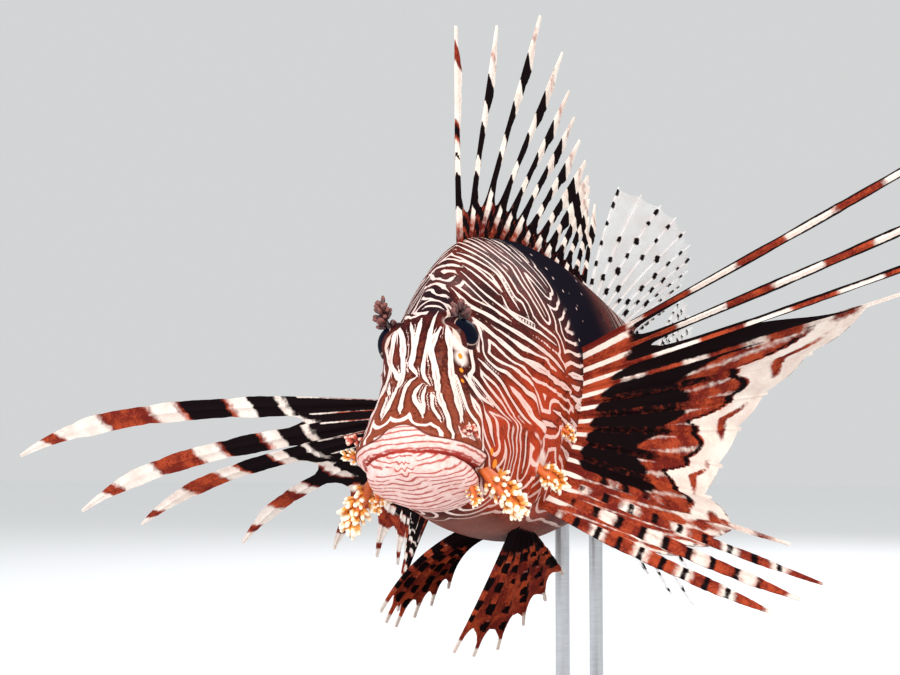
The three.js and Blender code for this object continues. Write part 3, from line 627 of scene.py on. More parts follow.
@dataclass(frozen=True)
class FinGrid:
    """How finely a fin is meshed, and how its membranes hang between the rays.

    web_steps of a ray's steps lie along the membrane. scallop is how far its margin is drawn in, as a share
    of its reach, and the first notched membranes are drawn in by notch more. billow is the sag as a share of
    the width, ragged the height of the noise on the margins, and ridge the spread of a ray's crest.
    """

    # waves along a ray's edge: how many, their pitch, their shift from ray to ray, and where they start
    WAVES, PITCH, SHIFT, WAVY_FROM = 9, 14, 7, 0.35
    # the columns that those waves move, and the thickness of an edge and of a membrane as shares
    OUTER, EDGE_SHARE, WEB_SHARE = 0.9, 0.55, 0.5
    # a margin's arch and its run along the ray as powers, then height, number, pitch and shift of its tears
    ARCH, RUN, TEAR, TEARS, TEAR_PITCH, TEAR_SHIFT = 0.8, 4, 0.6, 5, 9, 3.7

    steps: int
    web_steps: int
    ray_columns: int
    web_columns: int
    scallop: float
    billow: float
    ragged: float
    ridge: float
    seed: int
    notched: int = 0
    notch: float = 0.0

    def patch(self, rays: Rays, marks: Callable[[Weave], dict[str, Array]]) -> Patch:
        """The fin as one closed sheet.

        Args:
            rays: its rays.
            marks: turns the grid's places into the fields that the finish reads.

        Returns:
            Rays of ray_columns columns whose middle is raised to the crest, joined up to each ray's web
            share by membranes whose margin is drawn in between the rays and ragged by smooth noise.
        """
        count, last, joined = len(rays.length), self.steps, self.web_steps
        rng = np.random.default_rng(self.seed)
        k = np.arange(last + 1)
        web = rays.web[:, None]
        s = np.where(k <= joined, web * k / joined, web + (1 - web) * (k - joined) / max(last - joined, 1))
        line = rays.at(s)
        tangent = unit(np.gradient(line, axis=1))
        across = np.gradient(line, axis=0)
        across = unit(across - tangent * dot(across, tangent))
        normal = unit(np.cross(across, tangent))
        fore, aft, crest, edge = (f(s) for f in (rays.fore, rays.aft, rays.crest, rays.edge))
        w = np.linspace(-1, 1, self.ray_columns)
        half = np.where(w[:, None, None] < 0, fore, aft)
        along = s * self.PITCH + np.arange(count)[:, None] * self.SHIFT
        wobble = 1 + self.ragged * plain_wave(rng, self.WAVES, along) * (s > self.WAVY_FROM)
        shift = w[:, None, None] * half * np.where(np.abs(w[:, None, None]) > self.OUTER, wobble, 1.0)
        rim = edge * self.EDGE_SHARE
        thick = rim + (crest - rim) * bump(w, 0.0, self.ridge)[:, None, None]
        middle = line + across * shift[..., None]
        front, back = (middle + sign * normal * thick[..., None] for sign in (1, -1))
        columns = {"front": [], "back": [], "s": [], "ray": [], "offset": [], "web": []}

        def put(f: Array, b: Array, share: Array, index: float, offset: float, hang: float) -> None:
            """Adds one column of the grid, which belongs to a ray where hang is 0."""
            level = (np.full(last + 1, float(v)) for v in (index, offset, hang))
            for key, value in zip(columns, (f, b, share, *level)):
                columns[key].append(value)

        for i in range(count):
            for j in range(self.ray_columns):
                put(front[j, i], back[j, i], s[i], i, w[j], 0.0)
            if i + 1 == count:
                break
            share = np.minimum(k / joined, 1.0)
            for t in (np.arange(self.web_columns) + 1) / (self.web_columns + 1):
                arch = (4 * t * (1 - t)) ** self.ARCH
                place = np.array(t * self.TEAR_PITCH + i * self.TEAR_SHIFT)
                tear = 1 + self.TEAR * self.ragged * plain_wave(rng, self.TEARS, place)
                drawn = self.scallop + self.notch * (i < self.notched)
                row = np.clip(k - drawn * tear * joined * arch * share**self.RUN, 0, last)
                pull = [
                    np.stack([np.interp(row, k, v[:, c]) for c in range(3)], -1)
                    for v in (middle[-1, i], middle[0, i + 1], normal[i], normal[i + 1])
                ]
                spot = pull[0] * (1 - t) + pull[1] * t
                out = unit(pull[2] * (1 - t) + pull[3] * t)
                gap = np.linalg.norm(pull[1] - pull[0], axis=-1, keepdims=True)
                sag = self.billow * gap * math.sin(math.pi * t) * np.sin(math.pi * 0.5 * share)[:, None]
                thin = (self.WEB_SHARE * (edge[i] + edge[i + 1]) / 2)[:, None]
                reach = np.interp(row, k, s[i]) * (1 - t) + np.interp(row, k, s[i + 1]) * t
                faces = (spot + out * (sag + sign * thin) for sign in (1, -1))
                put(*faces, reach, i + t, 1.0, 1 - abs(2 * t - 1))
        stack = {key: np.stack(value) for key, value in columns.items()}
        whole = stack["web"][:, 0] == 0
        full = whole[:-1] & whole[1:] & (np.diff(stack["ray"][:, 0]) == 0)
        cells = full[:, None] | (np.arange(last) < joined)[None, :]
        webs = np.interp(stack["ray"], np.arange(count), rays.web)
        weave = Weave(
            stack["s"], stack["ray"], stack["offset"], stack["web"], stack["s"] / webs,
            (stack["front"] + stack["back"]) / 2,
        )
        return slab(stack["front"], stack["back"], cells, marks(weave))


def bands(s: Array, centres: tuple[float, ...], half: float | Array, soft: float) -> Array:
    """Bands across a ray: 0.5 at each band's edge, rising to 1 inside over the soft share of the length."""
    level = [clamp(0.5 + (half - np.abs(s - c)) / soft) for c in centres]
    return np.max(level, axis=0)


def spots(points: Array, centres: Array, radius: Array, soft: float) -> Array:
    """Round spots: 0.5 at a spot's edge, rising to 1 inside, from the distance in mm to each centre."""
    flat = points.reshape(-1, 3)
    level = np.zeros(len(flat))
    for centre, r in zip(centres, radius):
        level = np.maximum(level, 0.5 + (r - np.linalg.norm(flat - centre, axis=1)) / soft)
    return clamp(level).reshape(points.shape[:-1])


class Fin:
    """Base of the fins: the fish's body, the node that the fin stands for and how it is meshed."""

    node: str
    title: str
    slot: str
    grid: FinGrid

    def __init__(self, body: Body) -> None:
        """Keeps the body that the fin grows from."""
        self.body = body

    def rays(self) -> Rays:
        """The fin's rays."""
        raise NotImplementedError

    def marks(self, weave: Weave) -> dict[str, Array]:
        """The fin's markings, dark and warm, and clear where its finish reads that, each from 0 to 1."""
        raise NotImplementedError

    def build(self, material: Material) -> Object:
        """Meshes the fin, dresses it and lets it stand for its node."""
        patch = self.grid.patch(self.rays(), self.marks)
        patch.points = self.body.world(patch.points)
        made = patch.object(self.title, material)
        return mounted(made, self.slot, self.node)


def mounted(piece: Object, slot: str, *nodes: str) -> Object:
    """Lets a finished piece ride on the fish and stand for its nodes, and reports it."""
    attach(piece, BODY_NAME)
    if nodes:
        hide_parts(*nodes)
    triangles = sum(len(p.vertices) - 2 for p in piece.data.polygons)
    log.info("%s: %d triangles, stands for %s", piece.name, triangles, ", ".join(nodes) or "no node")
    return piece


class SpinyDorsal(Fin):
    """Thirteen banded spines, joined low down by a membrane, each with a pale lappet of skin behind it."""

    node, title, slot = "dorsal_fin_spiny", "SpinyDorsalFin", "fin_spines"
    grid = FinGrid(96, 30, 7, 6, scallop=0.45, billow=0.05, ragged=0.08, ridge=0.45, seed=3)
    LENGTHS = np.array(
        [0.232, 0.258, 0.318, 0.308, 0.277, 0.258, 0.24, 0.218, 0.192, 0.168, 0.14, 0.108, 0.13]
    )
    # first and last station, power of the spacing, lean, and over how many spines it grows
    FROM, TO, SPACING, LEAN, LEAN_IN = 0.288, 0.665, 0.96, math.radians(60), 2.7
    # how far the last spines stand up again, from which spine on, over how many and with which power
    UPRIGHT, UPRIGHT_FROM, UPRIGHT_OVER, UPRIGHT_POWER = 0.55, 7, 5, 1.5
    # reach of the membrane at the first spine, and how much more at the last
    WEB, WEB_MORE = 0.25, 0.15
    # lappet: its width low down, width, place, spread and end of its flag, and the spine with the widest
    STRAP, FLAG, FLAG_AT, FLAG_SPREAD, FLAG_END, WIDEST, WIDEST_SPREAD = 0.6, 2.3, 0.76, 0.19, 6, 8.0, 1.1
    # middles and half widths of the black and rusty bands; the black ones are less by a little near the tip
    BLACK, BLACK_HALF, BLACK_LESS, RUST, RUST_HALF = (0.255, 0.475, 0.71), 0.075, 0.012, (0.52, 0.87), 0.045

    def rays(self) -> Rays:
        """Spines along the back, leaning further back behind the third and upright again at the end."""
        n = self.body.LENGTH
        i = np.arange(len(self.LENGTHS))
        u = i / (len(i) - 1)
        a = (self.FROM + (self.TO - self.FROM) * u**self.SPACING) * n
        lean = self.LEAN * (1 - np.exp(-i / self.LEAN_IN))
        late = np.maximum(0.0, (i - self.UPRIGHT_FROM) / self.UPRIGHT_OVER) ** self.UPRIGHT_POWER
        lean = lean * (1 - self.UPRIGHT * late)
        wide = (1 + bump(i, self.WIDEST, self.WIDEST_SPREAD))[:, None]
        side = 0.04 + 0.1 * bump(i, 2.5, 2.5)
        point, way = self.body.place(a, 0, self.body.size(a, Body.TOP)), (side, np.sin(lean), np.cos(lean))
        return Rays.rooted(
            point, self.body.along(a, *way), self.LENGTHS * n, self.body.along(a, 0, 0.05, 0),
            self.WEB + self.WEB_MORE * u,
            power=2.0, fore=taper(1.1, 0.4), aft=lambda s: taper(0.9, 0.3)(s) + self.lappet(s) * wide,
            crest=taper(0.95, 0.3), edge=taper(0.4, 0.22),
        )

    def lappet(self, s: Array) -> Array:
        """Width of the skin behind a spine: narrow low down, a flag near the tip."""
        flag = self.FLAG * bump(s, self.FLAG_AT, self.FLAG_SPREAD)
        return self.STRAP + flag * np.minimum(1.0, self.FLAG_END * (1 - s))

    def marks(self, weave: Weave) -> dict[str, Array]:
        """Black bands on the lower two thirds of each spine, pale flags, and a marbled membrane."""
        i = np.round(weave.ray)
        drift = 0.03 * np.sin(i * 2.3) + 0.02 * weave.offset
        on_ray = weave.web == 0
        s = weave.s + drift
        dark = bands(s, self.BLACK, self.BLACK_HALF - self.BLACK_LESS * (s > 0.6), 0.03)
        rust = bands(s, self.RUST, self.RUST_HALF, 0.05) * np.where(i == 0, 1.0, 0.45)
        dark = np.where((i == 0) & (s > 0.42), 0.65 * bands(s, self.RUST[:1], 0.04, 0.05), dark)
        low = smooth(0.24, 0.05, weave.s)
        marble = 0.5 + 0.32 * np.sin(weave.ray * 9.1 + weave.s * 95)
        marble = marble + 0.25 * np.sin(weave.ray * 21 - weave.s * 60)
        web_dark = clamp(marble + 0.15 + 0.2 * (i > 2))
        dark = np.where(on_ray, np.maximum(dark, 0.45 * low), web_dark)
        return {"dark": dark, "warm": np.where(on_ray, np.maximum(rust, 0.7 * low), 0.75)}


class ClearFin(Fin):
    """A clear soft fin: white rays in a glassy membrane, with rows of black spots along the rays."""

    slot = "fin_clear"
    HANG = {"scallop": 0.02, "billow": 0.03, "ragged": 0.12, "ridge": 0.5}
    grid = FinGrid(80, 74, 5, 5, seed=5, **HANG)
    # reach of the membrane
    WEB = 0.985
    # rows of spots, the shift of every second ray's, their wander, the share kept and the last place
    ROWS = (0.2, 0.36, 0.52, 0.68, 0.83, 0.95)
    ROW_SHIFT, WANDER, KEPT, LAST = 0.075, 0.012, 0.86, 0.985
    # radius of a spot in millimetres, the range of its size, and how the size falls along a ray
    SPOT, SIZES, SIZE_ROOT, SIZE_FALL = 1.3, (0.6, 1.15), 1.25, 0.45

    def fan(self, a: Array, h: Array, rise: Array, share: Array) -> Rays:
        """Slender rays from points of the middle line, with the look that all three clear fins have."""
        half, point, web = taper(0.5, 0.22), self.body.place(a, 0, h), np.full(len(share), self.WEB)
        return Rays.rooted(
            point, rise, share * self.body.LENGTH, self.bend(a), web,
            power=2.0, fore=half, aft=half, crest=taper(0.7, 0.3), edge=taper(0.26, 0.16),
        )

    def bend(self, a: Array) -> Array:
        """How far the rays bend: a little to the left and back."""
        return self.body.along(a, 0.08, 0.05, 0)

    def marks(self, weave: Weave) -> dict[str, Array]:
        """Spots in rows that shift by half a row from ray to ray, on the rays and between them."""
        rng = np.random.default_rng(self.grid.seed)
        rays = self.rays()
        count = len(rays.length)
        row = np.array(self.ROWS)
        shift = np.where(np.arange(count)[:, None] % 2, self.ROW_SHIFT, 0.0)
        share = row[None] + shift + rng.normal(0, self.WANDER, (count, len(row)))
        keep = (rng.random(share.shape) < self.KEPT) & (share < self.LAST)
        centres = rays.at(clamp(share))[keep]
        radius = self.SPOT * rng.uniform(*self.SIZES, share.shape)[keep]
        radius = radius * (self.SIZE_ROOT - self.SIZE_FALL * share[keep])
        dark = spots(weave.point, centres, radius, 0.5)
        bone = 0.35 + 0.3 * smooth(0.2, 1.0, np.abs(weave.offset))
        glass = np.where(weave.web == 0, bone, 0.9 - 0.08 * weave.s) * (1 - smooth(0.35, 0.65, dark))
        return {"dark": dark, "warm": 0.1 * smooth(0.25, 0.0, weave.s), "clear": glass}


class SoftDorsal(ClearFin):
    """The clear fin behind the dorsal spines."""

    node, title = "dorsal_fin_soft", "SoftDorsalFin"

    def rays(self) -> Rays:
        """Eleven rays that lean further back from one to the next."""
        u = np.linspace(0, 1, 11)
        a = (0.685 + 0.165 * u) * self.body.LENGTH
        lean = np.radians(28 + 46 * u)
        share = 0.175 - 0.06 * np.abs(u - 0.3) ** 1.5 - 0.02 * u
        rise = self.body.along(a, 0.08 + 0.42 * np.sin(math.pi * u), np.sin(lean), np.cos(lean))
        return self.fan(a, self.body.size(a, Body.TOP), rise, share)


class AnalFin(ClearFin):
    """The clear fin under the tail root."""

    node, title = "anal_fin", "AnalFin"
    grid = FinGrid(80, 74, 5, 6, seed=8, **ClearFin.HANG)

    def rays(self) -> Rays:
        """Three short spines and seven long rays."""
        i = np.arange(10)
        u = i / i[-1]
        a = (0.665 + 0.19 * u) * self.body.LENGTH
        lean = np.radians(6 + 60 * u)
        share = np.where(i < 3, 0.08 + 0.05 * i, 0.228 - 0.08 * (u - 0.33))
        rise = self.body.along(a, 0.12, np.sin(lean), -np.cos(lean))
        return self.fan(a, self.body.size(a, Body.BOTTOM), rise, share)


class TailFin(ClearFin):
    """The rounded tail fin."""

    node, title = "caudal_fin", "TailFin"
    grid = FinGrid(100, 95, 5, 6, seed=11, **ClearFin.HANG)
    ROWS = (0.14, 0.27, 0.4, 0.53, 0.66, 0.79, 0.92)

    def bend(self, a: Array) -> Array:
        """The tail fin's rays bend a little to the left."""
        return self.body.along(a, 0.05, 0, 0)

    def rays(self) -> Rays:
        """Thirteen rays, spread evenly above and below the middle."""
        u = np.linspace(-1, 1, 13)
        n = self.body.LENGTH
        a = np.full(13, n)
        rise = np.radians(19 * u)
        way = self.body.along(a, 0, np.cos(rise), np.sin(rise))
        return self.fan(a, self.body.size(a, Body.LEVEL) + 0.043 * n * u, way, 0.29 - 0.045 * u**2)


class Pectoral(Fin):
    """A pectoral fin: long blades at the top, a broad membrane in the middle and thick fleshy rays below."""

    slot = "fin_banded"
    RAYS = 13
    # station of the first ray, how much further forward the last one is, and the power of the way down
    FROM, FORWARD, DOWN = 0.405, 0.135, 0.9
    # half width of a ray at its root, and how fast it widens there and narrows at the tip
    ROOT_HALF, WIDEN, NARROW = 0.5, 3, 5
    side: Side
    high: float
    drop: float
    droop: float
    power: float
    # rows of: share down the fan, rise, sweep back, length, reach of the membrane, half width in millimetres
    fan: Array

    def rays(self) -> Rays:
        """The rays down the side, their direction, length and width read from the fan's rows."""
        n = self.body.LENGTH
        u = np.linspace(0, 1, self.RAYS)
        a = (self.FROM - self.FORWARD * u) * n
        point, _ = self.body.flank(a, (self.high - self.drop * u**self.DOWN) * n, self.side)
        rise, sweep, reach, web, wide = (monotone(self.fan, c, u) for c in range(1, self.fan.shape[1]))
        rise, sweep = np.radians(rise), np.radians(sweep)
        out = self.side.value * np.cos(rise) * np.cos(sweep)
        way = self.body.along(a, out, np.cos(rise) * np.sin(sweep), np.sin(rise))

        def half(s: Array) -> Array:
            """Half width: narrow at the root, then the blade's, and round at the tip."""
            swell = (wide[:, None] - self.ROOT_HALF) * np.minimum(1, self.WIDEN * s)
            return self.ROOT_HALF + swell * np.minimum(1, self.NARROW * (1 - s))

        return Rays.rooted(
            point, way, reach * n, self.body.along(a, 0, 0.04, self.droop), web, power=self.power,
            fore=half, aft=half, crest=taper(1.1, 0.45), edge=taper(0.4, 0.22),
        )


class PectoralLeft(Pectoral):
    """The fish's left pectoral fin, spread wide."""

    node, title = "pectoral_fin_left", "PectoralFinLeft"
    side, high, drop, droop, power = LEFT, 0.068, 0.155, 0.03, 2.0
    grid = FinGrid(
        110, 56, 7, 8, scallop=-0.05, billow=0.06, ragged=0.06, ridge=0.34, notched=2, notch=0.7, seed=21
    )
    # lobes of the pale margin: where the first begins, rays to a lobe, place and bow of the inner border
    LOBE_AT, LOBE_WIDE, LOBE_IN, LOBE_BOW = 3.0, 1.8, 0.66, 0.17
    # between which rays the blades end and the fleshy lower rays begin
    BLADES_END, LOWER_FROM = (3.4, 2.6), (8.6, 9.4)
    # how many bands a blade has and how many blots a lower ray
    BLADE_BANDS, BLOTS = 5.6, 11
    fan = np.array([
        [0, 22, 8, 0.64, 0.2, 1.15],
        [0.083, 16, 10, 0.62, 0.22, 1.2],
        [0.167, 12, 12, 0.56, 0.36, 1.2],
        [0.25, 9, 24, 0.38, 0.86, 1.2],
        [0.333, 3, 40, 0.29, 0.98, 1.0],
        [0.5, -9, 54, 0.238, 0.98, 1.0],
        [0.667, -24, 50, 0.2, 0.96, 1.1],
        [0.8, -29, 16, 0.3, 0.62, 1.7],
        [1, -32, 4, 0.26, 0.5, 1.7],
    ])

    def marks(self, weave: Weave) -> dict[str, Array]:
        """Black and red at the root, a pale scalloped margin with rusty streaks, and checkered lower rays."""
        s, ray, reach, web = weave.s, weave.ray, weave.reach, weave.web
        on_ray = web == 0
        i = np.round(ray)
        lower, upper = smooth(*self.LOWER_FROM, ray), smooth(*self.BLADES_END, ray)
        root = smooth(0.14, 0.07, s)
        middle = (1 - upper - lower).clip(0)
        black = smooth(0.6, 0.44, reach + 0.08 * np.sin(ray * 2.1)) * (1 - 0.7 * lower)
        turn = math.pi * (ray - self.LOBE_AT) / self.LOBE_WIDE
        inner = self.LOBE_IN + self.LOBE_BOW * np.abs(np.cos(turn))
        margin = smooth(inner - 0.01, inner + 0.03, reach) * (1 - upper) * (1 - 0.6 * lower)
        border = bump(reach, inner - 0.02, 0.034) * middle
        streak = bump(reach, (1 + inner) / 2 + 0.02, 0.032) * np.abs(np.sin(turn)) ** 1.6
        glow = 0.76 + 0.26 * np.sin(ray * 7.0 + reach * 11.0)
        web_dark = np.maximum(black, 0.72 * border) * (1 - margin) + 0.45 * smooth(0.985, 1.0, reach)
        web_dark = np.maximum(web_dark, 0.85 * upper)
        web_warm = clamp(glow * (1 - margin) + 1.1 * streak * margin)
        step = s * self.BLOTS + 0.4 * np.sin(i * 2.9)
        blade = clamp(0.5 + 0.9 * np.cos(2 * math.pi * (s * self.BLADE_BANDS + 0.17 * i)))
        blade = blade * smooth(1.0, 0.75, s)
        edge = smooth(0.3, 0.9, np.abs(weave.offset)) * smooth(0.95, 0.6, s) * 0.9
        blot = clamp(0.08 + 0.62 * np.cos(2 * math.pi * (step + 0.5 * i)))
        spine = 0.62 * smooth(0.75, 0.5, reach)
        ray_dark = upper * edge + lower * blot + middle * np.maximum(spine, 0.72 * border)
        ray_dark = ray_dark * smooth(0.98, 0.8, s)
        ray_warm = upper * blade + lower * clamp(0.7 + 0.4 * np.cos(math.pi * step))
        ray_warm = ray_warm + middle * np.maximum(0.85 * (1 - margin), 1.1 * streak)
        dark = np.where(on_ray, ray_dark, web_dark) * (1 - root)
        fold = clamp(0.5 + 0.8 * np.cos(2 * math.pi * ray + 9 * s))
        warm = np.where(on_ray, ray_warm, web_warm) * (1 - root) + fold * root
        return {"dark": clamp(dark), "warm": clamp(warm)}


class PectoralRight(Pectoral):
    """The fish's right pectoral fin, its broad blades drooping towards their tips."""

    node, title = "pectoral_fin_right", "PectoralFinRight"
    side, high, drop, droop, power = RIGHT, 0.022, 0.108, -0.1, 4.0
    grid = FinGrid(120, 50, 9, 6, scallop=0.1, billow=0.05, ragged=0.05, ridge=0.2, seed=22)
    fan = np.array([
        [0, 4, 6, 0.7, 0.32, 2.9],
        [0.083, -3, 10, 0.62, 0.36, 2.7],
        [0.167, -6, 14, 0.53, 0.44, 2.5],
        [0.25, -12, 28, 0.455, 0.52, 2.3],
        [0.333, -18, 42, 0.36, 0.7, 1.9],
        [0.5, -26, 56, 0.27, 0.86, 1.4],
        [0.667, -30, 60, 0.24, 0.86, 1.4],
        [0.8, -33, 58, 0.22, 0.8, 1.5],
        [1, -36, 52, 0.18, 0.6, 1.6],
    ])

    # bands as shares of a ray: black and amber, then brown, then a narrow one near the tip
    BLACK, AMBER, BROWN, TIP = (0.375,), (0.51,), (0.7,), (0.91,)

    def marks(self, weave: Weave) -> dict[str, Array]:
        """Bands across each blade: black near the body, then brown, then soft orange, with a white tip."""
        s, ray, web = weave.s, weave.ray, weave.web
        i = np.round(ray)
        shift = 0.035 * np.sin(i * 1.9 + 0.4)
        t = s + shift + 0.012 * weave.offset
        dark = np.maximum(0.9 * smooth(0.36, 0.3, t), bands(t, self.BLACK, 0.03, 0.03))
        dark = np.maximum(dark, bands(t, self.AMBER, 0.05, 0.035))
        amber = np.maximum(bands(t, self.AMBER, 0.062, 0.05), bands(t, self.BROWN, 0.065, 0.06))
        amber = np.maximum(amber, bands(t, self.TIP, 0.022, 0.04))
        dark = np.maximum(dark, 0.42 * bands(t, self.BROWN, 0.03, 0.08) * (i > 0))
        on_ray, rim = web == 0, np.abs(weave.offset) > 0.75
        warm = np.maximum(amber, 0.8 * smooth(0.32, 0.2, t) * rim)
        dark = np.where(on_ray & rim & (t < 0.3), 0.25, dark)
        web_dark = clamp(smooth(0.9, 0.6, weave.reach) + 0.2)
        dark = np.where(on_ray, dark, np.maximum(web_dark * 0.95, dark * 0.8))
        return {"dark": clamp(dark), "warm": clamp(warm)}


class Pelvic(Fin):
    """A pelvic fin: a spine and five rays in a dark spotted membrane."""

    slot = "fin_banded"
    side: Side
    scale: float
    at: float
    curl: float
    droop: float
    lean: tuple[float, float]
    out: tuple[float, float]
    LENGTHS = np.array([0.15, 0.16, 0.165, 0.152, 0.142, 0.128])
    # station of the first ray, how much further back the last one is, and reach of the membrane
    FROM, BACK, WEB = 0.27, 0.062, 0.9
    # rows of blots as shares of a ray, their wander and their least and largest radius
    ROWS, WANDER, BLOT = (0.3, 0.46, 0.61, 0.76), 0.03, (1.0, 2.0)
    grid = FinGrid(84, 70, 7, 7, scallop=0.1, billow=0.07, ragged=0.1, ridge=0.4, seed=31)

    def rays(self) -> Rays:
        """Six rays from the belly, fanned from front to back."""
        n = self.body.LENGTH
        u = np.linspace(0, 1, len(self.LENGTHS))
        a = (self.FROM + self.BACK * u) * n
        point, _ = self.body.half_way(a, self.at * n, self.side, False)
        lean = np.radians(self.lean[0] + (self.lean[1] - self.lean[0]) * u)
        out = self.side.value * (self.out[0] + (self.out[1] - self.out[0]) * u)
        bend = self.body.along(a, self.side.value * self.curl, 0.03, self.droop)
        way = self.body.along(a, out, np.sin(lean), -np.cos(lean))
        half = taper(1.2, 0.5)
        return Rays.rooted(
            point, way, self.LENGTHS * self.scale * n, bend, np.full(len(u), self.WEB),
            power=2.0, fore=half, aft=half, crest=taper(1.1, 0.5), edge=taper(0.4, 0.25),
        )

    def marks(self, weave: Weave) -> dict[str, Array]:
        """Red rays with black spots, a dark membrane between them and pale tips."""
        rng = np.random.default_rng(self.grid.seed)
        s = weave.s
        rays = self.rays()
        share = np.array(self.ROWS)[None] + rng.normal(0, self.WANDER, (len(self.LENGTHS), len(self.ROWS)))
        radius = rng.uniform(*self.BLOT, share.size)
        blots = spots(weave.point, rays.at(share).reshape(-1, 3), radius, 0.8)
        on_ray = weave.web == 0
        root = smooth(0.34, 0.12, s)
        dark = np.maximum(0.9 * root, 0.95 * blots)
        dark = np.where(on_ray, dark, clamp(dark + 0.42 * smooth(0.95, 0.6, s)))
        pale = smooth(0.86, 0.95, s + 0.03 * np.sin(weave.ray * 5))
        streak = 0.35 * bump(np.mod(s * 7 + weave.ray * 0.5, 1.0), 0.5, 0.14) * on_ray
        return {"dark": dark * (1 - pale), "warm": clamp(1 - pale - streak)}


class PelvicLeft(Pelvic):
    """The fish's left pelvic fin, hanging down and fanned across."""

    node, title = "pelvic_fin_left", "PelvicFinLeft"
    side, scale, at, curl, droop, lean, out = LEFT, 1.0, 0.03, -0.05, 0.0, (4.0, 60.0), (-0.6, 0.02)


class PelvicRight(Pelvic):
    """The fish's right pelvic fin, held out and curling inwards."""

    node, title = "pelvic_fin_right", "PelvicFinRight"
    side, scale, at, curl, droop, lean, out = RIGHT, 0.86, 0.03, -0.2, -0.25, (-26.0, 58.0), (2.7, 1.4)


@dataclass(frozen=True)
class Stripe:
    """A pale line of the skin: half width in millimetres, and its course as pairs of a station and an angle.

    The station is a share of the length. The angle is in degrees from the back, above 0 on the left side. A
    mirrored line lies on both sides.
    """

    half: float
    course: tuple[float, ...]
    mirrored: bool = True


